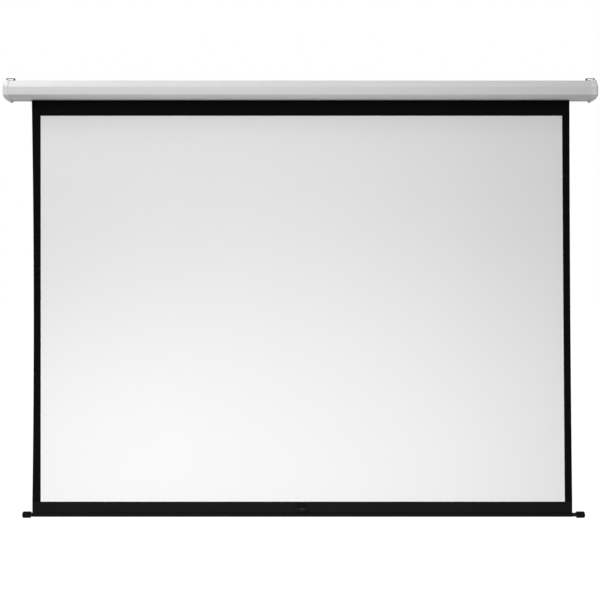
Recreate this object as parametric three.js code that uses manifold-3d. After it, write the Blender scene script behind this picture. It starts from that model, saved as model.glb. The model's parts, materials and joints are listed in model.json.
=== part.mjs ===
import * as THREE from 'three';
import { mergeVertices } from 'three/addons/utils/BufferGeometryUtils.js';
import Module from 'manifold-3d';

// A pull down projector screen with a spring roller, in millimetres.
// X runs along the casing to the right as the audience sees it, Y points at the wall, Z points up.
// The origin is on the wall plane, at mid length and mid height of the casing.

// Clearances and cuts
const fit = 0.3;
const seat_gap = 0.05;
const overrun = 2;

// Casing
const casing_depth = 70;
const casing_height = 69;
const casing_sheet = 1.2;
const casing_bend_radius = 2.5;
const upper_bevel_rise = 28;
const upper_bevel_run = 18;
const lower_bevel_rise = 10;
const lower_bevel_run = 22;
const slot_width = 12.1;
const slot_behind_fabric = 6.05;
const slot_lip = 5;

// End caps
const cap_width = 18.8;
const cap_tab_length = 16.5;
const cap_tab_past_foot = 3;
const cap_wall = 2.7;
const cap_end_wall = 3.5;
const cap_dome_depth = 4.5;
const cap_dome_inset = 6.5;
const cap_corner_radius = 4;
const cap_edge_width = 7;
const cap_edge_depth = 4.5;
const cap_boss_wall = 0.7;

// Hangers
const hanger_sheet = 2.2;
const hanger_foot_depth = 24;
const hanger_rise = 9.3;
const hanger_bar = 2.3;
const hanger_from_front = 34;
const hanger_from_cap_end = 1.3;
const hanger_past_tab = 1.6;
const hanger_eye_width = 23;
const hanger_eye_height = 4.7;
const hanger_eye_corner_share = 0.4;
const hanger_corner_radius = 2;

// Roller brackets inside the ends of the casing
const bracket_sheet = 2;
const bracket_flange_past_screw = 7.5;
const bracket_flange_from_back = 5;
const bracket_flange_from_bevel = 3.8;

// Screws of the housing
const screw_shank_radius = 2;
const screw_head_radius = 4;
const screw_head_height = 2.4;
const recess_width_share = 0.25;
const recess_length_share = 1.15;
const recess_depth_share = 0.5;
const hanger_screw_length = 11.5;
const hanger_screw_spacing = 14;
const cap_screw_length = 10.5;
const cap_screw_from_back = 16;
const cap_screw_from_edge = 13.3;
const cap_counterbore = 2;
const under_screw_length = 8;
const under_screw_from_end = 13.8;

// Roller tube and what is left of the fabric on it
const roller_ahead_of_middle = 3;
const tube_bare_end = 64.5;
const tube_radius = 19;
const tube_wall = 1.2;
const wrap_thickness = 0.7;

// Ratchet and spindle at the left end
const tang_width = 5;
const tang_length = 7;
const spindle_radius = 4;
const spindle_end_gap = 0.4;
const clip_from_bracket = 8.5;
const clip_thickness = 1.5;
const clip_radius = 6.5;
const clip_mouth_angle = 1.2;
const hub_from_clip = 0.5;
const hub_length = 6.5;
const hub_radius = 9.5;
const pawl_thickness = 6;
const pawl_pivot_clearance = 2.5;
const pawl_length = 13;
const pawl_half_width = 1.3;
const pawl_boss_radius = 3;
const pawl_rest_clearance = 1.4;
const pawl_catch_depth = 0.9;
const pawl_pin_radius = 1.5;
const pawl_pin_overhang = 1;
const notch_clearance = 0.4;
const plug_flange_step = 1.5;
const plug_flange_thickness = 5.7;
const plug_spigot_length = 30;
const rivet_shank_radius = 1.7;
const rivet_head_radius = 3.2;
const rivet_head_height = 1;
const rivet_length = 7;

// Spring and the two pieces that hold it
const collar_gap = 2;
const collar_length = 10;
const collar_radius = 12.5;
const spring_turns = 24;
const spring_pitch = 7;
const spring_wire_diameter = 2;
const spring_radius = 10;
const spring_end_bend = 2.5;
const anchor_length = 16;
const spindle_into_anchor = 8;

// Idler at the right end
const idler_flange_thickness = 4;
const idler_running_gap = 4.4;
const idler_pin_radius = 4;
const idler_pin_length = 42;
const bush_wall = 2.5;
const bush_flange_thickness = 2.5;
const bush_flange_radius = 9;

// Fabric
const viewing_width = 2032;
const viewing_height = 1500;
const side_border_width = 31.5;
const top_mask_height = 94;
const bottom_border_height = 42.3;
const surface_thickness = 0.25;
const backing_thickness = 0.35;

// Bottom rod
const rod_bare_left = 7;
const rod_bare_right = 20;
const rod_radius = 7.5;
const hem_thickness = 0.5;
const rod_plug_radius = 12.5;
const rod_plug_length = 31;
const rod_plug_edge = 5;
const rod_plug_end_wall = 6;

// Pull handle
const bail_wire_radius = 2;
const bail_width = 30;
const bail_height = 26;
const bail_corner_radius = 7;
const bail_eye_radius = 3.6;
const bail_eye_width = 4;
const bail_pin_radius = 1.5;
const bail_pin_overhang = 1;
const bail_eye_clearance = 1;
const bail_rest_gap = 0.46;
const handle_plate_height = 16;
const handle_plate_sheet = 2;
const handle_back_sheet = 1.5;
const handle_above_hem = 1.5;
const handle_ear_thickness = 2.5;
const handle_ear_gap = 1;
const handle_pivot_height = 5;
const handle_screw_spacing = 14;
const handle_screw_from_top = 4;
const handle_screw_radius = 1.5;
const handle_screw_head_radius = 3;
const handle_screw_head_height = 1.4;

// How finely round shapes are divided
const fine_sides = 24;
const small_sides = 12;
const arc_segments = 4;
const bend_steps = 2;
const edge_steps = 3;
const coil_steps = 8;
const coil_sides = 5;
const bail_steps = 20;

// Along the roller: what the ratchet and the idler need sets the tube, the casing and the fabric
const clip_end = clip_from_bracket + clip_thickness;
const hub_start = clip_end + hub_from_clip;
const hub_end = hub_start + hub_length;
const flange_start = hub_end + fit;
const ratchet_room = flange_start + plug_flange_thickness;
const bush_room = bush_flange_thickness + seat_gap;
const idler_room = seat_gap + idler_flange_thickness + idler_running_gap + bush_room;
const fabric_width = viewing_width + 2 * side_border_width;
const fabric_offset = (ratchet_room - idler_room) / 2;
const tube_length = fabric_width + 2 * tube_bare_end;
const casing_length = tube_length + ratchet_room + idler_room + 2 * bracket_sheet;

// Places worked out from the sizes
const casing_end = casing_length / 2;
const casing_back = -(fit + cap_wall);
const casing_front = casing_back - casing_depth;
const casing_top = casing_height / 2;
const casing_bottom = -casing_top;
const cap_ledge = casing_end + fit;
const cap_end = cap_ledge + cap_dome_depth + cap_end_wall;
const cap_inner = cap_end - cap_width;
const cap_tab_inner = cap_inner - cap_tab_length;
const cap_top = casing_top + fit + cap_wall;
const bracket_inner = casing_end - bracket_sheet;
const screw_hole_radius = screw_shank_radius + fit;
const roller_y = casing_back - casing_depth / 2 - roller_ahead_of_middle;
const wrap_radius = tube_radius + fit + wrap_thickness;
const plug_flange_radius = tube_radius + plug_flange_step;
const surface_front = roller_y + wrap_radius + fit;
const surface_back = surface_front + surface_thickness;
const backing_front = surface_back + seat_gap;
const backing_back = backing_front + backing_thickness;
const slot_rear = backing_back + slot_behind_fabric;
const slot_front = slot_rear - slot_width;
const viewing_top = -top_mask_height;
const viewing_bottom = viewing_top - viewing_height;
const hem_top = viewing_bottom - bottom_border_height;
const hem_radius = rod_radius + fit + hem_thickness;
const rod_y = (backing_front + backing_back) / 2;
const rod_z = hem_top - hem_radius;

// Casing corners in (y, z), anticlockwise as seen from the right hand end
const casing_corners = [
  [casing_back, casing_bottom],
  [casing_back, casing_top],
  [casing_front + upper_bevel_run, casing_top],
  [casing_front, casing_top - upper_bevel_rise],
  [casing_front, casing_bottom + lower_bevel_rise],
  [casing_front + lower_bevel_run, casing_bottom],
].map(([y, z]) => new THREE.Vector2(y, z));

// Joining and cutting closed meshes
const wasm = await Module();
wasm.setup();

function closed(geometry) {
  const bare = geometry.clone();
  bare.deleteAttribute('normal');
  bare.deleteAttribute('uv');
  bare.clearGroups();
  const merged = mergeVertices(bare);
  const kept = [];
  const corners = merged.index.array;
  for (let i = 0; i < corners.length; i += 3) {
    const [a, b, c] = [corners[i], corners[i + 1], corners[i + 2]];
    if (a !== b && b !== c && c !== a) kept.push(a, b, c);
  }
  merged.setIndex(kept);
  return merged;
}

function toSolid(geometry) {
  const mesh = closed(geometry);
  return new wasm.Manifold(new wasm.Mesh({
    numProp: 3,
    vertProperties: new Float32Array(mesh.attributes.position.array),
    triVerts: new Uint32Array(mesh.index.array),
  }));
}

function toGeometry(solid) {
  const mesh = solid.getMesh();
  const geometry = new THREE.BufferGeometry();
  geometry.setAttribute('position', new THREE.BufferAttribute(mesh.vertProperties, mesh.numProp));
  geometry.setIndex(new THREE.BufferAttribute(mesh.triVerts, 1));
  return geometry;
}

function cut(geometry, tools) {
  let solid = toSolid(geometry);
  for (const tool of tools) solid = solid.subtract(toSolid(tool));
  return toGeometry(solid);
}

function join(geometries) {
  let solid = toSolid(geometries[0]);
  for (const other of geometries.slice(1)) solid = solid.add(toSolid(other));
  return toGeometry(solid);
}

// Outlines of points in a plane
function leftOf(direction) {
  return new THREE.Vector2(-direction.y, direction.x);
}

function heading(from, to) {
  return to.clone().sub(from).normalize();
}

function moveLeft(points, distance, isClosed) {
  const count = points.length;
  return points.map((point, i) => {
    const hasBefore = isClosed || i > 0;
    const hasAfter = isClosed || i < count - 1;
    const before = hasBefore ? heading(points[(i + count - 1) % count], point) : null;
    const after = hasAfter ? heading(point, points[(i + 1) % count]) : null;
    const a = leftOf(before ?? after);
    const b = leftOf(after ?? before);
    return point.clone().addScaledVector(a.clone().add(b), distance / (1 + a.dot(b)));
  });
}

function roundCorners(points, radius, isClosed) {
  const count = points.length;
  const rounded = [];
  points.forEach((point, i) => {
    if (!isClosed && (i === 0 || i === count - 1)) {
      rounded.push(point.clone());
      return;
    }
    const before = heading(points[(i + count - 1) % count], point);
    const after = heading(point, points[(i + 1) % count]);
    const turn = Math.atan2(before.cross(after), before.dot(after));
    const reach = radius * Math.tan(Math.abs(turn) / 2);
    const start = point.clone().addScaledVector(before, -reach);
    const centre = start.clone().addScaledVector(leftOf(before), radius * Math.sign(turn));
    for (let step = 0; step <= bend_steps; step += 1) {
      rounded.push(start.clone().rotateAround(centre, turn * step / bend_steps));
    }
  });
  return rounded;
}

// The casing's outline, grown outwards, with rounded corners
function casingOutline(growth, radius) {
  return roundCorners(moveLeft(casing_corners, -growth, true), radius, true);
}

// Prisms, blocks and turned shapes
const axis_x = new THREE.Vector3(1, 0, 0);
const axis_y = new THREE.Vector3(0, 1, 0);
const axis_z = new THREE.Vector3(0, 0, 1);
const shape_yz = new THREE.Matrix4().makeBasis(axis_y, axis_z, axis_x);
const shape_xz = new THREE.Matrix4().makeBasis(axis_x, axis_z, axis_y.clone().negate());
const turned_x = new THREE.Matrix4().makeBasis(axis_z, axis_x, axis_y);
const turned_z = shape_yz;

function prismX(shape, x0, x1) {
  const geometry = new THREE.ExtrudeGeometry(shape, {
    depth: Math.abs(x1 - x0),
    bevelEnabled: false,
    curveSegments: arc_segments,
  });
  return geometry.applyMatrix4(shape_yz).translate(Math.min(x0, x1), 0, 0);
}

function prismY(shape, y0, y1) {
  const geometry = new THREE.ExtrudeGeometry(shape, {
    depth: y1 - y0,
    bevelEnabled: false,
    curveSegments: arc_segments,
  });
  return geometry.applyMatrix4(shape_xz).translate(0, y1, 0);
}

function block(x0, x1, y0, y1, z0, z1) {
  const place = new THREE.Matrix4().makeScale(Math.abs(x1 - x0), y1 - y0, z1 - z0);
  place.setPosition((x0 + x1) / 2, (y0 + y1) / 2, (z0 + z1) / 2);
  return new THREE.BoxGeometry(1, 1, 1).applyMatrix4(place);
}

// A profile of [place along the axis, radius] turned round the Y axis, its outer side outwards
function turned(profile, sides) {
  const points = profile.map(([along, radius]) => new THREE.Vector2(radius, along));
  const area = points.reduce((sum, point, i) => {
    const next = points[(i + 1) % points.length];
    return sum + next.cross(point);
  }, 0);
  if (area > 0) points.reverse();
  return new THREE.LatheGeometry(points, sides);
}

function turnedX(profile, sides) {
  return turned(profile, sides).applyMatrix4(turned_x);
}

function turnedZ(profile, sides) {
  return turned(profile, sides).applyMatrix4(turned_z);
}

function bar(start, end, radius) {
  return [[start, 0], [start, radius], [end, radius], [end, 0]];
}

function ring(start, end, inner, outer) {
  return [[start, inner], [start, outer], [end, outer], [end, inner], [start, inner]];
}

// A skin through outlines of equal count at rising or falling X, closed with flat ends
function loft(stations) {
  const count = stations[0].points.length;
  const rising = stations[stations.length - 1].x > stations[0].x;
  const places = [];
  const faces = [];
  const face = (a, b, c) => (rising ? faces.push(a, b, c) : faces.push(a, c, b));
  for (const { x, points } of stations) {
    for (const point of points) places.push(x, point.x, point.y);
  }
  for (let s = 0; s < stations.length - 1; s += 1) {
    for (let i = 0; i < count; i += 1) {
      const [a, b] = [s * count + i, s * count + (i + 1) % count];
      face(a, b, a + count);
      face(b, b + count, a + count);
    }
  }
  const last = (stations.length - 1) * count;
  for (let i = 1; i < count - 1; i += 1) {
    face(0, i + 1, i);
    face(last, last + i, last + i + 1);
  }
  const geometry = new THREE.BufferGeometry();
  geometry.setAttribute('position', new THREE.Float32BufferAttribute(places, 3));
  geometry.setIndex(faces);
  return geometry;
}

// A wire of round section swept through points, closed at both ends
function wire(points, radius, sides) {
  const tangents = points.map((point, i) => {
    const before = points[Math.max(i - 1, 0)];
    const after = points[Math.min(i + 1, points.length - 1)];
    return after.clone().sub(before).normalize();
  });
  const places = [];
  const faces = [];
  let normal = axis_z.clone();
  points.forEach((point, i) => {
    normal = normal.addScaledVector(tangents[i], -normal.dot(tangents[i])).normalize();
    const binormal = tangents[i].clone().cross(normal);
    for (let side = 0; side < sides; side += 1) {
      const angle = 2 * Math.PI * side / sides;
      const place = point.clone()
        .addScaledVector(normal, radius * Math.cos(angle))
        .addScaledVector(binormal, radius * Math.sin(angle));
      places.push(place.x, place.y, place.z);
    }
  });
  for (let s = 0; s < points.length - 1; s += 1) {
    for (let i = 0; i < sides; i += 1) {
      const [a, b] = [s * sides + i, s * sides + (i + 1) % sides];
      faces.push(a, b, a + sides, b, b + sides, a + sides);
    }
  }
  const last = (points.length - 1) * sides;
  for (let i = 1; i < sides - 1; i += 1) {
    faces.push(0, i + 1, i, last, last + i, last + i + 1);
  }
  const geometry = new THREE.BufferGeometry();
  geometry.setAttribute('position', new THREE.Float32BufferAttribute(places, 3));
  geometry.setIndex(faces);
  return geometry;
}

// Finishes
const finishes = {
  whitePaint: { color: 0xe9eae9, roughness: 0.45, metalness: 0 },
  whitePlastic: { color: 0xe6e6e3, roughness: 0.5, metalness: 0 },
  zinc: { color: 0xa6a8a8, roughness: 0.4, metalness: 0.9 },
  darkSteel: { color: 0x3c3d3f, roughness: 0.45, metalness: 0.8 },
  springSteel: { color: 0x6b6d70, roughness: 0.35, metalness: 1 },
  nylon: { color: 0xd8d6cc, roughness: 0.55, metalness: 0 },
  whiteFabric: { color: 0xf4f4f3, roughness: 0.9, metalness: 0 },
  blackFabric: { color: 0x17171a, roughness: 0.85, metalness: 0 },
  blackPaint: { color: 0x131315, roughness: 0.4, metalness: 0.2 },
  blackPlastic: { color: 0x141416, roughness: 0.5, metalness: 0 },
};

function piece(parent, name, finish, geometry) {
  const mesh = new THREE.Mesh(closed(geometry), new THREE.MeshStandardMaterial(finishes[finish]));
  mesh.name = name;
  parent.add(mesh);
  return mesh;
}

function group(parent, x, y, z) {
  const made = new THREE.Group();
  made.position.set(x, y, z);
  parent.add(made);
  return made;
}

// A cross head screw along Y, its head on the positive side of the face that it rests on
function screw(length, shank, head, height) {
  const recess = height * (1 - recess_depth_share);
  const [long, wide] = [head * recess_length_share / 2, head * recess_width_share / 2];
  const profile = [
    [-length, 0],
    [-length, shank],
    [seat_gap, shank],
    [seat_gap, head],
    [height - seat_gap, head],
    [height, head - shank / 2],
    [height, 0],
  ];
  return cut(turned(profile, small_sides), [
    block(-long, long, recess, height + overrun, -wide, wide),
    block(-wide, wide, recess, height + overrun, -long, long),
  ]);
}

function housingScrew(parent, name, finish, length) {
  const geometry = screw(length, screw_shank_radius, screw_head_radius, screw_head_height);
  return piece(parent, name, finish, geometry);
}

const projector_screen = new THREE.Group();
const housing = group(projector_screen, 0, 0, 0);

// Where the screws of the housing go, for the left end (side -1) and the right end (side 1)
const hanger_outer = cap_end - hanger_from_cap_end;
const hanger_width = hanger_outer - cap_tab_inner + hanger_past_tab;
const hanger_middle = hanger_outer - hanger_width / 2;
const hanger_front = casing_front + hanger_from_front;
const hanger_back = hanger_front + hanger_foot_depth;
const hanger_screw_y = (hanger_front + hanger_sheet + hanger_back) / 2;
const hanger_screw_xs = [
  hanger_middle - hanger_screw_spacing / 2 - cap_wall,
  hanger_middle + hanger_screw_spacing / 2 - cap_wall,
];
const cap_screw_z = casing_top - cap_screw_from_edge;
const cap_screw_zs = [cap_screw_z, -cap_screw_z];
const under_screw_x = cap_end - under_screw_from_end;
const under_screw_y = (casing_back + slot_rear) / 2;

function hangerScrewHoles(side, bottom) {
  return hanger_screw_xs.map((x) => turnedZ(
    bar(bottom, cap_top + hanger_sheet + overrun, screw_hole_radius),
    small_sides,
  ).translate(side * x, hanger_screw_y, 0));
}

function underScrewHole(side) {
  return turnedZ(
    bar(-cap_top - overrun, -cap_top + under_screw_length + overrun, screw_hole_radius),
    small_sides,
  ).translate(side * under_screw_x, under_screw_y, 0);
}

function capScrewHoles(side, start, end, radius) {
  const [low, high] = [Math.min(side * start, side * end), Math.max(side * start, side * end)];
  return cap_screw_zs.map((z) => turnedX(bar(low, high, radius), small_sides)
    .translate(0, -cap_screw_from_back, z));
}

// The casing is one folded sheet with a slot below, its lips turned up
function casingProfile() {
  const path = [
    new THREE.Vector2(slot_rear, casing_bottom + slot_lip),
    new THREE.Vector2(slot_rear, casing_bottom),
    ...casing_corners,
    new THREE.Vector2(slot_front, casing_bottom),
    new THREE.Vector2(slot_front, casing_bottom + slot_lip),
  ];
  const outer = roundCorners(path, casing_bend_radius, false);
  const inner_path = moveLeft(path, casing_sheet, false);
  const inner = roundCorners(inner_path, casing_bend_radius - casing_sheet, false);
  return new THREE.Shape([...outer, ...inner.reverse()]);
}

function buildCasing() {
  const holes = [-1, 1].flatMap((side) => [
    ...hangerScrewHoles(side, casing_top - casing_sheet - overrun),
    underScrewHole(side),
  ]);
  const sheet = prismX(casingProfile(), -casing_end, casing_end);
  piece(housing, 'casing', 'whitePaint', cut(sheet, holes));
}

// An end cap fits over the casing, with a rounded outer edge, a shallow dome inside
// and a tab on top that goes under the hanger
function capGeometry(side) {
  const growth = fit + cap_wall;
  const stations = [{ x: side * cap_inner, points: casingOutline(growth, cap_corner_radius) }];
  for (let step = 0; step <= edge_steps; step += 1) {
    const angle = Math.PI / 2 * step / edge_steps;
    const inset = cap_edge_depth * (1 - Math.cos(angle));
    const x = side * (cap_end - cap_edge_width * (1 - Math.sin(angle)));
    stations.push({ x, points: casingOutline(growth - inset, cap_corner_radius) });
  }
  const skirt = loft([
    { x: side * (cap_inner - overrun), points: casingOutline(fit, casing_bend_radius) },
    { x: side * cap_ledge, points: casingOutline(fit, casing_bend_radius) },
  ]);
  const tab = block(
    side * cap_tab_inner,
    side * (cap_inner + overrun),
    hanger_front - cap_tab_past_foot,
    hanger_back + cap_tab_past_foot,
    casing_top + fit,
    cap_top,
  );
  const dome_points = casingOutline(growth - cap_dome_inset, casing_bend_radius);
  const boss_radius = screw_head_radius + fit + cap_boss_wall;
  const bosses = capScrewHoles(side, cap_ledge, cap_end, boss_radius);
  const dome = cut(loft([
    { x: side * (cap_ledge - seat_gap), points: dome_points },
    { x: side * (cap_ledge + cap_dome_depth), points: dome_points },
  ]), bosses);
  return cut(join([loft(stations), tab]), [
    skirt,
    dome,
    ...capScrewHoles(side, cap_ledge - overrun, cap_end + overrun, screw_hole_radius),
    ...capScrewHoles(side, cap_end - cap_counterbore, cap_end + overrun, screw_head_radius + fit),
    ...hangerScrewHoles(side, casing_top - overrun),
    underScrewHole(side),
  ]);
}

// A hanger stands on the cap: a foot with two screws and an upright with a long eye
function hangerGeometry(side) {
  const [inner, outer] = [side * (hanger_outer - hanger_width), side * hanger_outer];
  const foot_top = cap_top + hanger_sheet;
  const top = cap_top + hanger_rise;
  const foot = block(inner, outer, hanger_front, hanger_back, cap_top, foot_top);
  const low = Math.min(inner, outer);
  const corners = [
    new THREE.Vector2(low, cap_top),
    new THREE.Vector2(low + hanger_width, cap_top),
    new THREE.Vector2(low + hanger_width, top),
    new THREE.Vector2(low, top),
  ];
  const outline = [corners[0], corners[1]];
  outline.push(...roundCorners(corners, hanger_corner_radius, true).slice(2 * (bend_steps + 1)));
  const upright = prismY(new THREE.Shape(outline), hanger_front, hanger_front + hanger_sheet);
  const eye_low = top - hanger_bar - hanger_eye_height;
  const eye_left = low + (hanger_width - hanger_eye_width) / 2;
  const eye_corners = [
    new THREE.Vector2(eye_left, eye_low),
    new THREE.Vector2(eye_left + hanger_eye_width, eye_low),
    new THREE.Vector2(eye_left + hanger_eye_width, eye_low + hanger_eye_height),
    new THREE.Vector2(eye_left, eye_low + hanger_eye_height),
  ];
  const eye_corner = hanger_eye_corner_share * hanger_eye_height;
  const eye_shape = new THREE.Shape(roundCorners(eye_corners, eye_corner, true));
  const eye = prismY(eye_shape, hanger_front - overrun, hanger_front + hanger_sheet + overrun);
  return cut(join([foot, upright]), [eye, ...hangerScrewHoles(side, cap_top - overrun)]);
}

// A bracket closes the end of the casing and carries the roller, with a flange under the top
function bracketGeometry(side, axle_hole) {
  const plate_shape = new THREE.Shape(casingOutline(-casing_sheet - fit, casing_bend_radius));
  const plate = prismX(plate_shape, side * bracket_inner, side * casing_end);
  const flange_top = casing_top - casing_sheet - seat_gap;
  const flange = block(
    side * (hanger_screw_xs[0] - bracket_flange_past_screw),
    side * (casing_end - bracket_sheet / 2),
    casing_front + upper_bevel_run + bracket_flange_from_bevel,
    casing_back - casing_sheet - bracket_flange_from_back,
    flange_top - bracket_sheet,
    flange_top,
  );
  const lip_notch = block(
    side * (bracket_inner - overrun),
    side * (casing_end + overrun),
    slot_front - casing_bend_radius,
    slot_rear + casing_bend_radius,
    casing_bottom - overrun,
    casing_bottom + slot_lip + fit,
  );
  return cut(join([plate, flange]), [
    axle_hole,
    lip_notch,
    ...capScrewHoles(side, bracket_inner - overrun, casing_end + overrun, screw_hole_radius),
    ...hangerScrewHoles(side, casing_top - casing_sheet - bracket_sheet - overrun),
  ]);
}

function tangHole() {
  const [wide, tall] = [tang_width / 2 + fit, spindle_radius + fit];
  const [start, end] = [-casing_end - overrun, -bracket_inner + overrun];
  return block(start, end, roller_y - wide, roller_y + wide, -tall, tall);
}

function bushHole() {
  const radius = idler_pin_radius + fit + bush_wall + fit;
  const hole = bar(bracket_inner - overrun, casing_end + overrun, radius);
  return turnedX(hole, fine_sides).translate(0, roller_y, 0);
}

function buildEnd(side, word, axle_hole) {
  piece(housing, `${word}_end_cap`, 'whitePlastic', capGeometry(side));
  piece(housing, `${word}_hanger`, 'zinc', hangerGeometry(side));
  piece(housing, `${word}_bracket`, 'zinc', bracketGeometry(side, axle_hole));
  hanger_screw_xs.forEach((x, i) => {
    const name = `${word}_hanger_screw_${i + 1}`;
    const made = housingScrew(housing, name, 'zinc', hanger_screw_length);
    made.rotation.x = Math.PI / 2;
    made.position.set(side * x, hanger_screw_y, cap_top + hanger_sheet);
  });
  cap_screw_zs.forEach((z, i) => {
    const name = `${word}_cap_screw_${i + 1}`;
    const made = housingScrew(housing, name, 'zinc', cap_screw_length);
    made.rotation.z = -side * Math.PI / 2;
    made.position.set(side * (cap_end - cap_counterbore), -cap_screw_from_back, z);
  });
  const under = housingScrew(housing, `${word}_underside_screw`, 'darkSteel', under_screw_length);
  under.rotation.x = -Math.PI / 2;
  under.position.set(side * under_screw_x, under_screw_y, -cap_top);
}

buildCasing();
buildEnd(-1, 'left', tangHole());
buildEnd(1, 'right', bushHole());

// Ratchet end: x is measured inwards from the left bracket, about the roller's axis
const pawl_start = hub_start + (hub_length - pawl_thickness) / 2;
const pawl_pivot_radius = hub_radius + pawl_boss_radius + pawl_pivot_clearance;
const pawl_rest_radius = hub_radius + pawl_half_width + pawl_rest_clearance;
const pawl_locked_radius = hub_radius - pawl_catch_depth;
const spigot_end = ratchet_room + plug_spigot_length;
const collar_start = spigot_end + collar_gap;
const collar_end = collar_start + collar_length;
const spring_start = collar_end + fit;
const spring_tail = spring_end_bend + spring_wire_diameter;
const spring_end = spring_start + 2 * spring_tail + spring_turns * spring_pitch;
const anchor_start = spring_end + fit;
const spindle_end = anchor_start + spindle_into_anchor;
const bore_radius = spindle_radius + fit;
const spigot_radius = tube_radius - tube_wall - fit;
const pawl_pin_hole = pawl_pin_radius + fit;

const ratchet_end = group(projector_screen, -bracket_inner, roller_y, 0);

// Angle at a pawl's pin between the axis of the roller and the pawl, for a tip at a radius
function pawlAngle(tip_radius) {
  const sides = pawl_pivot_radius ** 2 + pawl_length ** 2 - tip_radius ** 2;
  return Math.acos(sides / (2 * pawl_pivot_radius * pawl_length));
}

const pawl_rest_angle = Math.PI - pawlAngle(pawl_rest_radius);
const pawl_locked_angle = Math.PI - pawlAngle(pawl_locked_radius);

function buildSpindle() {
  const rod_start = -bracket_sheet + spindle_end_gap;
  const rod = turnedX(bar(rod_start, spindle_end, spindle_radius), small_sides);
  const [near, far] = [tang_width / 2, spindle_radius + overrun];
  const flats = [[near, far], [-far, -near]].map(([y0, y1]) => block(
    rod_start - overrun,
    tang_length,
    y0,
    y1,
    -far,
    far,
  ));
  piece(ratchet_end, 'spindle', 'zinc', cut(rod, flats));
}

function buildClip() {
  const shape = new THREE.Shape();
  const [start, end] = [clip_mouth_angle / 2, 2 * Math.PI - clip_mouth_angle / 2];
  shape.absarc(0, 0, clip_radius, start, end, false);
  shape.absarc(0, 0, bore_radius, end, start, true);
  piece(ratchet_end, 'spindle_clip', 'springSteel', prismX(shape, clip_from_bracket, clip_end));
}

// The hub has two flats, each ending in a step that a locked pawl meets
function buildHub() {
  const along = pawl_locked_angle;
  const line_radius = pawl_pivot_radius * Math.sin(Math.PI - along);
  const foot = pawl_pivot_radius * Math.cos(Math.PI - along);
  const floor = line_radius - pawl_half_width - notch_clearance;
  const step = pawl_length + pawl_half_width - foot + notch_clearance;
  const notches = [0, Math.PI].map((turn) => block(
    hub_start - overrun,
    hub_end + overrun,
    -2 * hub_radius,
    step,
    -2 * hub_radius,
    -floor,
  ).rotateX(along + turn));
  const disc = turnedX(ring(hub_start, hub_end, bore_radius, hub_radius), fine_sides);
  piece(ratchet_end, 'ratchet_hub', 'darkSteel', cut(disc, notches));
}

function buildPawl(name, pin_name, turn) {
  const mount = group(ratchet_end, 0, 0, 0);
  mount.rotation.x = turn;
  const at_pin = group(mount, 0, pawl_pivot_radius, 0);
  const half = Math.asin(pawl_half_width / pawl_boss_radius);
  const tip = new THREE.Vector2(pawl_length, 0).rotateAround(new THREE.Vector2(), pawl_rest_angle);
  const shape = new THREE.Shape();
  const [start, end] = [pawl_rest_angle + half, pawl_rest_angle - half + 2 * Math.PI];
  shape.absarc(0, 0, pawl_boss_radius, start, end, false);
  const square = Math.PI / 2;
  const [tip_start, tip_end] = [pawl_rest_angle - square, pawl_rest_angle + square];
  shape.absarc(tip.x, tip.y, pawl_half_width, tip_start, tip_end, false);
  const hole = new THREE.Path();
  hole.absarc(0, 0, pawl_pin_hole, 0, 2 * Math.PI, true);
  shape.holes.push(hole);
  piece(at_pin, name, 'darkSteel', prismX(shape, pawl_start, pawl_start + pawl_thickness));
  const pin_start = pawl_start - pawl_pin_overhang;
  const pin = bar(pin_start, ratchet_room - pawl_pin_overhang, pawl_pin_radius);
  piece(at_pin, pin_name, 'zinc', turnedX(pin, small_sides));
}

function rivetHole(x, radius) {
  return turnedZ(bar(0, radius + overrun, rivet_shank_radius + fit), small_sides).translate(x, 0, 0);
}

function buildRatchetPlug() {
  const profile = [
    [flange_start, bore_radius],
    [flange_start, plug_flange_radius],
    [ratchet_room - seat_gap, plug_flange_radius],
    [ratchet_room - seat_gap, spigot_radius],
    [spigot_end, spigot_radius],
    [spigot_end, bore_radius],
    [flange_start, bore_radius],
  ];
  const pin_holes = [1, -1].map((sign) => turnedX(
    bar(flange_start - overrun, ratchet_room + overrun, pawl_pin_hole),
    small_sides,
  ).translate(0, sign * pawl_pivot_radius, 0));
  const rivet_x = (ratchet_room + spigot_end) / 2;
  const floor = block(
    ratchet_room - overrun,
    spigot_end + overrun,
    -spigot_radius,
    spigot_radius,
    -spigot_radius,
    spigot_radius - rivet_length,
  );
  const rivet_hole = cut(rivetHole(rivet_x, spigot_radius), [floor]);
  const plug = cut(turnedX(profile, fine_sides), [...pin_holes, rivet_hole]);
  piece(ratchet_end, 'ratchet_plug', 'nylon', plug);
}

// A rivet stands on the tube, its head a little clear of the round wall
function buildRivet(parent, name, x) {
  const seat = tube_radius + fit;
  const profile = [
    [spigot_radius - rivet_length + fit, 0],
    [spigot_radius - rivet_length + fit, rivet_shank_radius],
    [seat, rivet_shank_radius],
    [seat, rivet_head_radius],
    [seat + rivet_head_height / 2, rivet_head_radius],
    [seat + rivet_head_height, rivet_shank_radius],
    [seat + rivet_head_height, 0],
  ];
  piece(parent, name, 'zinc', turnedZ(profile, small_sides).translate(x, 0, 0));
}

function buildSpringHolders() {
  const collar = ring(collar_start, collar_end, bore_radius, collar_radius);
  piece(ratchet_end, 'spring_collar', 'zinc', turnedX(collar, fine_sides));
  const anchor = ring(anchor_start, anchor_start + anchor_length, bore_radius, spigot_radius);
  piece(ratchet_end, 'spring_anchor', 'zinc', turnedX(anchor, fine_sides));
}

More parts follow.
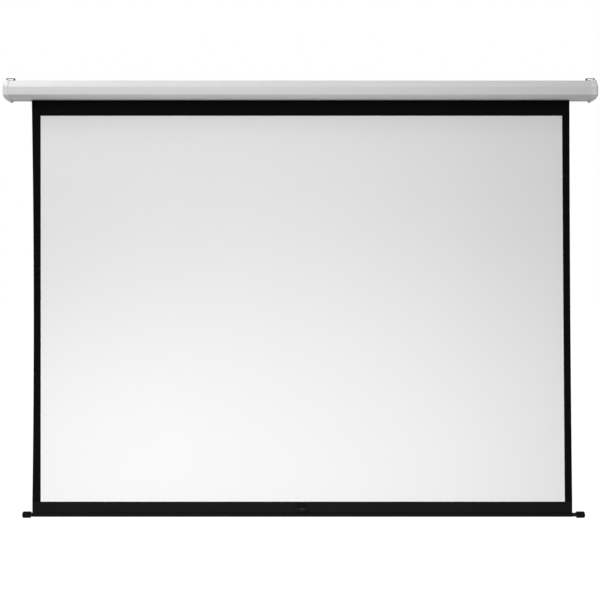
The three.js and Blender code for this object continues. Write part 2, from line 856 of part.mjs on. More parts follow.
// The spring's wire winds round the spindle and turns along it at both ends
function springPoints() {
  const coil_start = spring_start + spring_tail;
  const count = spring_turns * coil_steps;
  const onCoil = (step) => {
    const angle = 2 * Math.PI * step / coil_steps;
    return new THREE.Vector3(
      coil_start + spring_pitch * step / coil_steps,
      spring_radius * Math.cos(angle),
      spring_radius * Math.sin(angle),
    );
  };
  const tail = (sign) => {
    const from = onCoil(sign > 0 ? count : 0);
    const angle = sign > 0 ? 2 * Math.PI * spring_turns : 0;
    const away = new THREE.Vector3(0, -Math.sin(angle), Math.cos(angle)).multiplyScalar(sign);
    const points = [];
    for (let step = 1; step <= bend_steps; step += 1) {
      const bend = Math.PI / 2 * step / bend_steps;
      points.push(from.clone()
        .addScaledVector(away, spring_end_bend * Math.sin(bend))
        .addScaledVector(axis_x, sign * spring_end_bend * (1 - Math.cos(bend))));
    }
    const last = points[points.length - 1];
    points.push(last.clone().addScaledVector(axis_x, sign * spring_wire_diameter));
    return points;
  };
  const coil = [];
  for (let step = 0; step <= count; step += 1) coil.push(onCoil(step));
  return [...tail(-1).reverse(), ...coil, ...tail(1)];
}

function leastGap(points, apart, diameter) {
  let least = Infinity;
  for (let i = 0; i < points.length; i += 1) {
    for (let j = i + apart; j < points.length; j += 1) {
      least = Math.min(least, points[i].distanceTo(points[j]));
    }
  }
  return least - diameter;
}

function buildSpring() {
  const points = springPoints();
  const gap = leastGap(points, coil_steps / 2, spring_wire_diameter);
  console.log(`least gap of the spring to itself: ${gap.toFixed(2)} mm`);
  piece(ratchet_end, 'torsion_spring', 'springSteel', wire(points, spring_wire_diameter / 2, coil_sides));
}

buildSpindle();
buildClip();
buildHub();
buildPawl('pawl_upper', 'pawl_pin_rear', 0);
buildPawl('pawl_lower', 'pawl_pin_front', Math.PI);
buildRatchetPlug();
buildRivet(ratchet_end, 'ratchet_plug_rivet', (ratchet_room + spigot_end) / 2);
buildSpringHolders();
buildSpring();

// Roller tube and the turns of fabric that stay on it
const roller = group(projector_screen, 0, roller_y, 0);
const tube_left = -bracket_inner + ratchet_room;
const tube_right = tube_left + tube_length;
const fabric_left = fabric_offset - fabric_width / 2;
const fabric_right = fabric_offset + fabric_width / 2;
const idler_rivet_x = tube_right - plug_spigot_length / 2;

function buildTube() {
  const walls = ring(tube_left, tube_right, tube_radius - tube_wall, tube_radius);
  const ratchet_rivet_x = tube_left + plug_spigot_length / 2;
  const holes = [ratchet_rivet_x, idler_rivet_x].map((x) => rivetHole(x, tube_radius));
  piece(roller, 'roller_tube', 'zinc', cut(turnedX(walls, fine_sides), holes));
  const wrap = ring(fabric_left, fabric_right, tube_radius + fit, wrap_radius);
  piece(roller, 'fabric_on_roller', 'blackFabric', turnedX(wrap, fine_sides));
}

// Idler end: a plug in the tube carries a pin that turns in a bush in the right bracket
function buildIdler() {
  const pin_bore = idler_pin_radius + fit;
  const flange_end = tube_right + seat_gap + idler_flange_thickness;
  const plug = turnedX([
    [tube_right - plug_spigot_length, pin_bore],
    [tube_right - plug_spigot_length, spigot_radius],
    [tube_right + seat_gap, spigot_radius],
    [tube_right + seat_gap, plug_flange_radius],
    [flange_end, plug_flange_radius],
    [flange_end, pin_bore],
    [tube_right - plug_spigot_length, pin_bore],
  ], fine_sides);
  const floor = block(
    tube_right - plug_spigot_length - overrun,
    tube_right + overrun,
    -spigot_radius,
    spigot_radius,
    -spigot_radius,
    spigot_radius - rivet_length,
  );
  const rivet_hole = cut(rivetHole(idler_rivet_x, spigot_radius), [floor]);
  piece(roller, 'idler_plug', 'nylon', cut(plug, [rivet_hole]));
  buildRivet(roller, 'idler_plug_rivet', idler_rivet_x);
  const pin_end = casing_end - spindle_end_gap;
  const pin = bar(pin_end - idler_pin_length, pin_end, idler_pin_radius);
  piece(roller, 'idler_pin', 'zinc', turnedX(pin, small_sides));
  const flange_inner = bracket_inner - seat_gap - bush_flange_thickness;
  const bush = turnedX([
    [flange_inner, pin_bore],
    [flange_inner, bush_flange_radius],
    [bracket_inner - seat_gap, bush_flange_radius],
    [bracket_inner - seat_gap, pin_bore + bush_wall],
    [casing_end, pin_bore + bush_wall],
    [casing_end, pin_bore],
    [flange_inner, pin_bore],
  ], fine_sides);
  piece(roller, 'idler_bush', 'nylon', bush);
}

buildTube();
buildIdler();

// The hanging fabric: black backing with a white viewing surface on its front
const screen = group(projector_screen, 0, 0, 0);

function buildFabric() {
  piece(screen, 'fabric_backing', 'blackFabric', block(
    fabric_left,
    fabric_right,
    backing_front,
    backing_back,
    viewing_bottom,
    0,
  ));
  piece(screen, 'viewing_surface', 'whiteFabric', block(
    fabric_offset - viewing_width / 2,
    fabric_offset + viewing_width / 2,
    surface_front,
    surface_back,
    viewing_bottom,
    viewing_top,
  ));
  const border = block(
    fabric_left,
    fabric_right,
    backing_front,
    backing_back,
    hem_top + seat_gap,
    viewing_bottom - seat_gap,
  );
  piece(screen, 'lower_border', 'blackFabric', cut(border, handleScrewHoles()));
}

// The bottom rod in its hem, with a plug on each end
const rod = group(projector_screen, 0, rod_y, rod_z);
const rod_plug_socket = rod_plug_length - rod_plug_end_wall;
const left_plug_inner = fabric_left - rod_bare_left;
const right_plug_inner = fabric_right + rod_bare_right;

function buildRodPlug(name, side, inner) {
  const outer = inner + side * rod_plug_length;
  const profile = [[inner, 0], [inner, rod_plug_radius]];
  for (let step = 0; step <= edge_steps; step += 1) {
    const angle = Math.PI / 2 * step / edge_steps;
    profile.push([
      outer - side * rod_plug_edge * (1 - Math.sin(angle)),
      rod_plug_radius - rod_plug_edge * (1 - Math.cos(angle)),
    ]);
  }
  profile.push([outer, 0]);
  const socket = [inner - side * overrun, inner + side * (rod_plug_socket + fit)];
  const bore = bar(Math.min(...socket), Math.max(...socket), rod_radius + fit);
  piece(rod, name, 'blackPlastic', cut(turnedX(profile, fine_sides), [turnedX(bore, fine_sides)]));
}

function buildRod() {
  const hem = ring(fabric_left, fabric_right, rod_radius + fit, hem_radius);
  piece(rod, 'hem_pocket', 'blackFabric', turnedX(hem, fine_sides));
  const steel = bar(left_plug_inner - rod_plug_socket, right_plug_inner + rod_plug_socket, rod_radius);
  piece(rod, 'bottom_rod', 'blackPaint', turnedX(steel, fine_sides));
  buildRodPlug('rod_plug_left', -1, left_plug_inner);
  buildRodPlug('rod_plug_right', 1, right_plug_inner);
}

// The pull handle: two plates clamped on the lower border and a bail that folds up
const plate_bottom = hem_top + handle_above_hem;
const plate_top = plate_bottom + handle_plate_height;
const plate_back = backing_front - seat_gap;
const plate_front = plate_back - handle_plate_sheet;
const pivot_y = plate_front - bail_eye_radius - bail_eye_clearance;
const pivot_z = plate_bottom + handle_pivot_height;
const ear_inner = bail_width / 2 + bail_eye_width / 2 + handle_ear_gap;
const ear_outer = ear_inner + handle_ear_thickness;
const handle_screw_z = plate_top - handle_screw_from_top;
const back_plate_end = backing_back + seat_gap + handle_back_sheet;

function handleScrewHoles() {
  return [-1, 1].map((side) => turned(
    bar(plate_front - overrun, back_plate_end + overrun, handle_screw_radius + fit),
    small_sides,
  ).translate(fabric_offset + side * handle_screw_spacing / 2, 0, handle_screw_z));
}

function buildHandle() {
  const plate = block(
    fabric_offset - ear_outer,
    fabric_offset + ear_outer,
    plate_front,
    plate_back,
    plate_bottom,
    plate_top,
  );
  const reach = pivot_y - bail_eye_radius;
  const ears = [-1, 1].map((side) => block(
    fabric_offset + side * ear_inner,
    fabric_offset + side * ear_outer,
    reach,
    plate_back - handle_plate_sheet / 2,
    pivot_z - bail_eye_radius,
    pivot_z + bail_eye_radius,
  ));
  const pin_half = ear_outer + bail_pin_overhang;
  const pin_hole = turnedX(bar(-pin_half, pin_half, bail_pin_radius + fit), small_sides)
    .translate(fabric_offset, pivot_y, pivot_z);
  const front = cut(join([plate, ...ears]), [pin_hole, ...handleScrewHoles()]);
  piece(screen, 'handle_plate', 'blackPaint', front);
  const back = block(
    fabric_offset - ear_outer,
    fabric_offset + ear_outer,
    backing_back + seat_gap,
    back_plate_end,
    plate_bottom,
    plate_top,
  );
  piece(screen, 'handle_back_plate', 'blackPaint', cut(back, handleScrewHoles()));
  [-1, 1].forEach((side) => {
    const name = side < 0 ? 'handle_screw_left' : 'handle_screw_right';
    const length = back_plate_end - plate_front;
    const geometry = screw(
      length,
      handle_screw_radius,
      handle_screw_head_radius,
      handle_screw_head_height,
    );
    const made = piece(screen, name, 'darkSteel', geometry);
    made.rotation.z = Math.PI;
    made.position.set(fabric_offset + side * handle_screw_spacing / 2, plate_front, handle_screw_z);
  });
  const at_pivot = group(screen, fabric_offset, pivot_y, pivot_z);
  piece(at_pivot, 'bail_pin', 'zinc', turnedX(bar(-pin_half, pin_half, bail_pin_radius), small_sides));
  piece(at_pivot, 'pull_bail', 'blackPlastic', bailGeometry());
}

// The bail stands up from its pin and leans back until its top is just clear of the fabric
function bailGeometry() {
  const top_y = surface_front - bail_rest_gap - bail_wire_radius;
  const bail_lean = Math.asin((top_y - pivot_y) / bail_height);
  const half = bail_width / 2;
  const inset = half - bail_corner_radius;
  const shoulder = bail_height - bail_corner_radius;
  const at = (x, z) => new THREE.Vector3(x, 0, z);
  const path = new THREE.CurvePath();
  path.add(new THREE.LineCurve3(at(-half, 0), at(-half, shoulder)));
  path.add(new THREE.QuadraticBezierCurve3(
    at(-half, shoulder),
    at(-half, bail_height),
    at(-inset, bail_height),
  ));
  path.add(new THREE.LineCurve3(at(-inset, bail_height), at(inset, bail_height)));
  path.add(new THREE.QuadraticBezierCurve3(
    at(inset, bail_height),
    at(half, bail_height),
    at(half, shoulder),
  ));
  path.add(new THREE.LineCurve3(at(half, shoulder), at(half, 0)));
  const section = new THREE.Shape();
  section.absarc(0, 0, bail_wire_radius, 0, 2 * Math.PI, false);
  const loop = new THREE.ExtrudeGeometry(section, {
    steps: bail_steps,
    curveSegments: arc_segments,
    extrudePath: path,
  });
  const eyes = [-half, half].map((x) => turnedX(
    bar(x - bail_eye_width / 2, x + bail_eye_width / 2, bail_eye_radius),
    small_sides,
  ));
  const pin_hole = turnedX(bar(-bail_width, bail_width, bail_pin_radius + fit), small_sides);
  return cut(join([loop, ...eyes]), [pin_hole]).rotateX(-bail_lean);
}

buildFabric();
buildRod();
buildHandle();

export default projector_screen;
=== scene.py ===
import json
import math

import bpy
from mathutils import Matrix, Vector


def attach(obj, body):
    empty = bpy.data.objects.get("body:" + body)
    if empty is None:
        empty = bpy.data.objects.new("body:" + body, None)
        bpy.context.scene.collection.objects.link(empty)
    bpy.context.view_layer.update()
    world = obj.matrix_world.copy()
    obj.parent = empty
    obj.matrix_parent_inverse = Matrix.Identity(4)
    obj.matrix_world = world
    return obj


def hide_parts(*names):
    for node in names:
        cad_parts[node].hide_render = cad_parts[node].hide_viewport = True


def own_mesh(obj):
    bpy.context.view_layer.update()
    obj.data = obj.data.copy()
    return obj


# A pull down projector screen. Shapes are worked out in millimetres and stored in metres.
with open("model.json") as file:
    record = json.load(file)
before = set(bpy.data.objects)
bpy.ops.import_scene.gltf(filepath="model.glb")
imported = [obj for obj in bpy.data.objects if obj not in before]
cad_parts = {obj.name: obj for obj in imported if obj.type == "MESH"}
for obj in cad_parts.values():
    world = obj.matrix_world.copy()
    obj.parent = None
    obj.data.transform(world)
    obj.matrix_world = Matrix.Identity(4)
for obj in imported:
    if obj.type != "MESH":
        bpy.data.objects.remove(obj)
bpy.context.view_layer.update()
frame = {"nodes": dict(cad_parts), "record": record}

MM = 0.001

# Casing. Its section is the same as in the CAD
CASING_END = 1131.0
CASING_BACK = -3.0
CASING_FRONT = -73.0
CASING_TOP = 34.5
SHEET = 1.2
BEND = 2.5
UP_BEVEL_DEPTH, UP_BEVEL_RISE = 18.0, 28.0
LOW_BEVEL_DEPTH, LOW_BEVEL_RISE = 22.0, 10.0
SLOT_REAR = -14.0
SLOT_FRONT = -26.1
SLOT_LIP = 5.0
CORNERS = [
    (CASING_BACK, -CASING_TOP),
    (CASING_BACK, CASING_TOP),
    (CASING_FRONT + UP_BEVEL_DEPTH, CASING_TOP),
    (CASING_FRONT, CASING_TOP - UP_BEVEL_RISE),
    (CASING_FRONT, -CASING_TOP + LOW_BEVEL_RISE),
    (CASING_FRONT + LOW_BEVEL_DEPTH, -CASING_TOP),
]

# End caps
FIT = 0.3
CAP_WALL = 2.7
CAP_WIDTH = 18.8
CAP_LEDGE = CASING_END + FIT
CAP_DOME = 4.5
CAP_DOME_INSET = 3.5
CAP_DOME_OVERLAP = 0.05
CAP_END_WALL = 3.5
CAP_END = CAP_LEDGE + CAP_DOME + CAP_END_WALL
CAP_TOP = CASING_TOP + FIT + CAP_WALL
CAP_EDGE_WIDTH = 7.0
CAP_EDGE_DEPTH = 4.5
CAP_EDGE_STEPS = 10
CAP_CORNER = 4.0
CAP_CORNER_STEPS = 8
CAP_MOUTH = ((0.0, -0.5), (0.15, -0.15), (0.5, 0.0))  # how far along, and how much fuller
CAP_INNER = CAP_END - CAP_WIDTH
CAP_TAB_LENGTH = 16.5
CAP_TAB_PAST_FOOT = 3.0
CAP_TAB_EDGE = 0.4
CAP_TAB_OVERLAP = 3.0
CAP_TAB_INNER = CAP_INNER - CAP_TAB_LENGTH

# Hangers
HANGER_SHEET = 2.2
HANGER_BEND = 0.6
HANGER_CORNER = 2.2
HANGER_STEPS = 8
HANGER_EDGE = 0.25
HANGER_SETBACK = 1.3
HANGER_OUTER = CAP_END - HANGER_SETBACK
HANGER_WIDTH = 35.6
HANGER_FRONT = -39.0
HANGER_BACK = -15.0
HANGER_RISE = 9.3
HANGER_BAR = 2.3
HANGER_EYE_WIDTH = 23.0
HANGER_EYE_HEIGHT = 4.7
HANGER_EYE_CORNER = 1.6
HANGER_EYE_CUT = 5.0

# Screws: shank radius, head radius and head height of the large and the small kind. The cross
# recess is in shares of the head's radius and height
LARGE_SCREW = (2.0, 4.0, 2.4)
SMALL_SCREW = (1.5, 3.0, 1.4)
CROSS_LENGTH, CROSS_WIDTH, CROSS_DEPTH = 0.575, 0.125, 0.5
SCREW_EDGE, SCREW_DOME_STEPS = 0.15, 6
SCREW_HOLE = 2.3
HANGER_SCREW_LENGTH = 11.5
HANGER_SCREW_XS = (1110.5, 1124.5)
HANGER_SCREW_Y = -25.9
CAP_SCREW_LENGTH = 10.5
CAP_SCREW_Y = -16.0
CAP_SCREW_Z = CASING_TOP - 13.3
CAP_SCREW_BOSS = 5.0
CAP_SINK = 2.0
CAP_SINK_RADIUS = 4.3
UNDER_SCREW_LENGTH = 8.0
UNDER_SCREW_X = CAP_END - 13.8
UNDER_SCREW_Y = -8.5
UNDER_HOLE_PAST, UNDER_HOLE_DEPTH = 2.5, 10.0
HANDLE_SCREW_LENGTH = 4.0

# Roller
ROLLER_Y = -41.0
TUBE_RADIUS = 19.0
WRAP_RADIUS = 20.0
ROLL_TURNS = 1.9
ROLL_SHEET = 0.28
ROLL_GAP = 0.15
ROLL_STEPS = 120
SPRING_END = -1063.7
SPRING_LEAD = 4.5
SPRING_PITCH = 7.0
SPRING_RADIUS = 10.0
SPRING_TURNS = 24
SPRING_WIRE = 1.0
SPRING_LEG = ((3.5, 2.5), (2.5, 2.5), (0.7, 1.8))  # how far past the coil, and off its axis

# Hanging fabric
FABRIC_LEFT = -1041.5
FABRIC_RIGHT = 1053.5
FABRIC_MIDDLE = 6.0
COAT_FRONT = -20.7
COAT_BACK = -20.45
BACKING_FRONT = -20.4
BACKING_BACK = -20.05
WHITE_TOP = -94.0
WHITE_BOTTOM = -1594.0
CURL_DEPTH, CURL_WIDTH = 4.2, 70.0
DROP_ROWS, WHITE_ROWS = 6, 60

# Rod, hem and plugs
ROD_Y = -20.225
ROD_Z = -1644.6
ROD_LEFT, ROD_RIGHT, ROD_RADIUS = -1073.5, 1098.5, 7.5
HEM_RADIUS = 8.05
PLUG_INNER = {"left": -1048.5, "right": 1073.5}
PLUG_LENGTH = 31.0
PLUG_RADIUS = 12.5
PLUG_BORE, PLUG_BORE_LENGTH = 7.8, 25.3
PLUG_ROUND, PLUG_ROUND_STEPS = 5.0, 10
PLUG_CENTRE = 0.4

# Pull handle
HANDLE_HALF = 20.5
HANDLE_LOW, HANDLE_HIGH = -1634.8, -1618.8
HANDLE_FRONT, HANDLE_BACK = -22.45, -20.45
HANDLE_REAR_FRONT, HANDLE_REAR_BACK = -20.0, -18.5
HANDLE_SCREW_X, HANDLE_SCREW_Z = 7.0, -1622.8
HANDLE_HOLE = 1.8
HANDLE_HOLE_ENDS, HEM_HOLE_ENDS = (-32.0, -16.0), (-24.0, -17.0)
HANDLE_EDGE = 0.25
EAR_INNER, EAR_RADIUS, EAR_ROOT, EAR_STEPS = 18.0, 3.6, 1.0, 12
PIN_Y, PIN_Z, PIN_HOLE, PIN_PAST = -27.05, -1629.8, 1.8, 5.0
BAIL_HALF, BAIL_HEIGHT, BAIL_CORNER, BAIL_LEAN = 15.0, 26.0, 7.0, 0.14998
BAIL_WIRE, BAIL_STEP, BAIL_CORNER_STEPS = 2.0, 2.0, 14
BAIL_EYE_RADIUS, BAIL_EYE_HALF, BAIL_EYE_EDGE = 3.6, 2.0, 0.3


# Meshes

# Angles in degrees past which an edge is sharp, by kind of piece
SHARP = 35.0
BENT_SHARP = 30.0
TURNED_SHARP = 40.0
SOFT_SHARP = 50.0
WIRE_SHARP = 60.0
BEVEL_ANGLE = 40.0

# Sides of round things
SIDES = 32
ROD_SIDES = 48
BAIL_SIDES = 20
SPRING_SIDES = 12

# How far a tool goes past what it cuts
PAST = 2.0


def add_mesh(name, points, faces, sharp):
    """A mesh from points in millimetres, smooth but for edges sharper than the given angle."""
    mesh = bpy.data.meshes.new(name)
    mesh.from_pydata([[c * MM for c in p] for p in points], [], faces)
    return add_object(name, mesh, sharp)


def add_object(name, mesh, sharp):
    mesh.validate()
    obj = bpy.data.objects.new(name, mesh)
    bpy.context.scene.collection.objects.link(obj)
    shade(obj, sharp)
    return obj


def shade(obj, sharp):
    obj.data.shade_smooth()
    obj.data.set_sharp_from_angle(angle=math.radians(sharp))


def bake(obj, sharp=SHARP):
    """Turns the modifiers of a piece into its mesh."""
    graph = bpy.context.evaluated_depsgraph_get()
    mesh = bpy.data.meshes.new_from_object(obj.evaluated_get(graph))
    obj.modifiers.clear()
    obj.data = mesh
    shade(obj, sharp)
    return obj


def cut(obj, tools, operation="DIFFERENCE", sharp=SHARP):
    for tool in tools:
        modifier = obj.modifiers.new("cut", "BOOLEAN")
        modifier.operation = operation
        modifier.solver = "EXACT"
        modifier.object = tool
    bake(obj, sharp)
    for tool in tools:
        bpy.data.objects.remove(tool, do_unlink=True)
    return obj


def bevel(obj, width):
    modifier = obj.modifiers.new("bevel", "BEVEL")
    modifier.width = width * MM
    modifier.segments = 2
    modifier.limit_method = "ANGLE"
    modifier.angle_limit = math.radians(BEVEL_ANGLE)
    return bake(obj)


def loft(name, rings, sharp=SHARP):
    """A skin through rings of equal count, with flat ends."""
    count = len(rings[0])
    points = [p for ring in rings for p in ring]
    last = (len(rings) - 1) * count
    faces = []
    for a in range(0, last, count):
        for i in range(count):
            j = (i + 1) % count
            faces.append((a + i, a + j, a + count + j, a + count + i))
    faces.append(tuple(range(count))[::-1])
    faces.append(tuple(range(last, last + count)))
    obj = add_mesh(name, points, faces, sharp)
    face_out(obj)
    return obj


def face_out(obj):
    """Turns a closed skin so that its volume is positive."""
    mesh = obj.data
    mesh.calc_loop_triangles()
    volume = 0.0
    for t in mesh.loop_triangles:
        a, b, c = (mesh.vertices[i].co for i in t.vertices)
        volume += a.dot(b.cross(c))
    if volume < 0:
        mesh.flip_normals()


def turned(name, profile, sides, place, sharp=SHARP):
    """A profile of (along, radius) turned round an axis. place(along, a, b) gives the point."""
    rings = []
    for along, radius in profile:
        ring = []
        for i in range(sides):
            angle = 2 * math.pi * i / sides
            ring.append(place(along, radius * math.cos(angle), radius * math.sin(angle)))
        rings.append(ring)
    return loft(name, rings, sharp)


def along_x(y, z):
    return lambda t, a, b: (t, y + a, z + b)


def along_y(x, z):
    return lambda t, a, b: (x + a, t, z + b)


def along_z(x, y):
    return lambda t, a, b: (x + a, y + b, t)


def rod_shape(name, start, end, radius, place, sides=SIDES):
    return turned(name, [(start, radius), (end, radius)], sides, place)


def block(name, low, high):
    (x0, y0, z0), (x1, y1, z1) = low, high
    rings = [[(x, y0, z0), (x, y1, z0), (x, y1, z1), (x, y0, z1)] for x in (x0, x1)]
    return loft(name, rings)


def swept(name, line, radius, sides, first):
    """A round wire through points, closed at both ends."""
    line = [Vector(p) for p in line]
    normal = Vector(first)
    rings = []
    for i, point in enumerate(line):
        heading = (line[min(i + 1, len(line) - 1)] - line[max(i - 1, 0)]).normalized()
        normal = (normal - heading * normal.dot(heading)).normalized()
        side = heading.cross(normal)
        ring = []
        for k in range(sides):
            angle = 2 * math.pi * k / sides
            ring.append(tuple(point + radius * (normal * math.cos(angle) + side * math.sin(angle))))
        rings.append(ring)
    return loft(name, rings, WIRE_SHARP)


# Outlines in a plane

def left_of(d):
    return Vector((-d.y, d.x))


def grown(points, distance, closed=True):
    """Moves an outline to its right by a distance."""
    points = [Vector(p) for p in points]
    count = len(points)
    moved = []
    for i, p in enumerate(points):
        before = (p - points[i - 1]).normalized() if closed or i > 0 else None
        after = (points[(i + 1) % count] - p).normalized() if closed or i < count - 1 else None
        a = left_of(before or after)
        b = left_of(after or before)
        moved.append(p - (a + b) * distance / (1 + a.dot(b)))
    return moved


def rounded(points, radius, steps=6, closed=True):
    points = [Vector(p) for p in points]
    count = len(points)
    out = []
    for i, p in enumerate(points):
        if not closed and i in (0, count - 1):
            out.append(p)
            continue
        before = (p - points[i - 1]).normalized()
        after = (points[(i + 1) % count] - p).normalized()
        turn = math.atan2(before.cross(after), before.dot(after))
        start = p - before * radius * math.tan(abs(turn) / 2)
        centre = start + left_of(before) * math.copysign(radius, turn)
        for step in range(steps + 1):
            out.append(centre + Matrix.Rotation(turn * step / steps, 2) @ (start - centre))
    return out


def casing_ring(x, growth, radius, steps=6):
    return [(x, p.x, p.y) for p in rounded(grown(CORNERS, growth), radius, steps)]


# Materials

def material(name, color, roughness, metallic=0.0, specular=0.5):
    mat = bpy.data.materials.new(name)
    mat.use_nodes = True
    tree = mat.node_tree
    shader = tree.nodes["Principled BSDF"]
    shader.inputs["Base Color"].default_value = (*color, 1)
    shader.inputs["Roughness"].default_value = roughness
    shader.inputs["Metallic"].default_value = metallic
    shader.inputs["Specular IOR Level"].default_value = specular
    place = tree.nodes.new("ShaderNodeTexCoord").outputs["Object"]
    return mat, tree, shader, place


def feed(tree, socket, value):
    """Links a socket to another one, or gives it a value."""
    if isinstance(value, bpy.types.NodeSocket):
        tree.links.new(value, socket)
    else:
        socket.default_value = value


def node(tree, kind, **inputs):
    made = tree.nodes.new(kind)
    for key, value in inputs.items():
        feed(tree, made.inputs[key.replace("_", " ")], value)
    return made


def noise(tree, place, scale, detail=2.0, rough=0.5):
    return node(
        tree, "ShaderNodeTexNoise", Vector=place, Scale=scale, Detail=detail, Roughness=rough,
    ).outputs["Fac"]


def stretched(tree, place, scale):
    return node(tree, "ShaderNodeMapping", Vector=place, Scale=scale).outputs["Vector"]


def mapped(tree, value, low, high, to_low=0.0, to_high=1.0):
    made = node(
        tree, "ShaderNodeMapRange",
        Value=value, From_Min=low, From_Max=high, To_Min=to_low, To_Max=to_high,
    )
    made.clamp = True
    return made.outputs["Result"]


def maths(tree, operation, a, b=0.0):
    made = tree.nodes.new("ShaderNodeMath")
    made.operation = operation
    for socket, value in zip(made.inputs, (a, b)):
        feed(tree, socket, value)
    return made.outputs[0]


# Places of the colour sockets on a mix node
MIX_FACTOR, MIX_FIRST, MIX_SECOND, MIX_RESULT = 0, 6, 7, 2


def mixed(tree, factor, a, b):
    made = tree.nodes.new("ShaderNodeMix")
    made.data_type = "RGBA"
    feed(tree, made.inputs[MIX_FACTOR], factor)
    for at, color in ((MIX_FIRST, a), (MIX_SECOND, b)):
        linked = isinstance(color, bpy.types.NodeSocket)
        feed(tree, made.inputs[at], color if linked else (*color, 1))
    return made.outputs[MIX_RESULT]


def tinted(tree, shader, factor, color, spread):
    """Varies the base colour by a share to either side of itself."""
    dark = [c * (1 - spread) for c in color]
    light = [min(c * (1 + spread), 1.0) for c in color]
    tree.links.new(mixed(tree, factor, dark, light), shader.inputs["Base Color"])


def bumped(tree, shader, height, strength, distance):
    made = node(tree, "ShaderNodeBump", Height=height, Strength=strength, Distance=distance)
    tree.links.new(made.outputs["Normal"], shader.inputs["Normal"])


def facing_up(tree):
    normal = tree.nodes.new("ShaderNodeNewGeometry").outputs["Normal"]
    return node(tree, "ShaderNodeSeparateXYZ", Vector=normal).outputs["Z"]


def roughened(tree, shader, value, low, high, roughness, less, more):
    """Varies the roughness about its mean while a value goes from low to high."""
    rough = mapped(tree, value, low, high, roughness - less, roughness + more)
    tree.links.new(rough, shader.inputs["Roughness"])


DUST = (0.5, 0.48, 0.45)
WORN_PAINT = (0.16, 0.16, 0.165)


def powder_coat(name, color, roughness):
    """Orange peel, slow colour drift and a little dust on what faces up."""
    mat, tree, shader, place = material(name, color, roughness, specular=0.4)
    drift = noise(tree, place, scale=9.0, detail=3.0)
    peel = noise(tree, place, scale=620.0)
    cloud = mapped(tree, noise(tree, place, scale=45.0, detail=6.0, rough=0.7), 0.3, 0.9)
    upper = mapped(tree, facing_up(tree), 0.8, 1.0, to_high=0.2)
    dust = maths(tree, "MULTIPLY", upper, cloud)
    dark = [c * 0.985 for c in color]
    base = mixed(tree, drift, dark, color)
    tree.links.new(mixed(tree, dust, base, DUST), shader.inputs["Base Color"])
    spots = noise(tree, place, scale=40.0, detail=4.0)
    roughened(tree, shader, spots, 0.3, 0.7, roughness, less=0.05, more=0.07)
    bumped(tree, shader, peel, strength=0.25, distance=0.00012)
    return mat


def moulded(name, color, roughness, specular=0.5, grain=1500.0, depth=0.0001, spread=0.015):
    """Moulded plastic: fine spark grain, faint flow and rub marks."""
    mat, tree, shader, place = material(name, color, roughness, specular=specular)
    flow = noise(tree, stretched(tree, place, (30.0, 90.0, 60.0)), scale=1.0, detail=4.0)
    tinted(tree, shader, flow, color, spread)
    rub = noise(tree, place, scale=75.0, detail=6.0, rough=0.6)
    roughened(tree, shader, rub, 0.35, 0.7, roughness, less=0.05, more=0.08)
    bumped(tree, shader, noise(tree, place, grain), strength=0.3, distance=depth)
    return mat


def plated(name, color, roughness, spangle=260.0, spread=0.12):
    """Zinc plating: small spangles, each a little lighter or darker, with fine rolling lines."""
    mat, tree, shader, place = material(name, color, roughness, metallic=1.0)
    cells = node(tree, "ShaderNodeTexVoronoi", Vector=place, Scale=spangle)
    value = node(tree, "ShaderNodeSeparateColor", Color=cells.outputs["Color"]).outputs["Red"]
    cloud = noise(tree, place, scale=35.0, detail=4.0)
    cell_shade = maths(tree, "MULTIPLY", maths(tree, "ADD", value, cloud), 0.5)
    tinted(tree, shader, cell_shade, color, spread)
    roughened(tree, shader, value, 0.0, 1.0, roughness, less=0.07, more=0.1)
    lines = noise(tree, stretched(tree, place, (60.0, 2200.0, 2200.0)), scale=1.0, detail=3.0)
    bumped(tree, shader, lines, strength=0.15, distance=0.00005)
    return mat


def painted_steel(name, color, roughness, specular=0.4):
    """Satin paint or blacking on steel, worn a little in streaks along its length."""
    mat, tree, shader, place = material(name, color, roughness, specular=specular)
    along = stretched(tree, place, (4.0, 700.0, 700.0))
    streaks = noise(tree, along, scale=1.0, detail=5.0, rough=0.6)
    worn = mapped(tree, streaks, 0.68, 0.8, to_high=0.12)
    tree.links.new(mixed(tree, worn, color, WORN_PAINT), shader.inputs["Base Color"])
    spots = noise(tree, place, scale=130.0, detail=4.0)
    roughened(tree, shader, spots, 0.3, 0.7, roughness, less=0.06, more=0.08)
    bumped(tree, shader, noise(tree, place, scale=900.0), strength=0.2, distance=0.00006)
    return mat


def weave(tree, place, period):
    """Crossing threads, as a height from 0 to 1, for cloth that hangs in the XZ plane."""
    axes = node(tree, "ShaderNodeSeparateXYZ", Vector=place)
    turn = 2 * math.pi / period
    over = maths(tree, "SINE", maths(tree, "MULTIPLY", axes.outputs["X"], turn))
    under = maths(tree, "SINE", maths(tree, "MULTIPLY", axes.outputs["Z"], turn))
    return mapped(tree, maths(tree, "MULTIPLY", over, under), -1.0, 1.0)


def coated_cloth(name, color, roughness, specular, period, depth, spread):
    """Coated screen cloth: its weave shows through a matte coat with a fine grain."""
    mat, tree, shader, place = material(name, color, roughness, specular=specular)
    threads = weave(tree, place, period)
    grain = noise(tree, place, scale=1300.0)
    patches = noise(tree, place, scale=3.0, detail=3.0)
    speckle = maths(tree, "MULTIPLY", maths(tree, "ADD", patches, grain), 0.5)
    tinted(tree, shader, speckle, color, spread)
    spots = noise(tree, place, scale=25.0, detail=4.0)
    roughened(tree, shader, spots, 0.3, 0.7, roughness, less=0.04, more=0.04)
    height = maths(tree, "ADD", threads, maths(tree, "MULTIPLY", grain, 0.7))
    bumped(tree, shader, height, strength=0.3, distance=depth)
    return mat


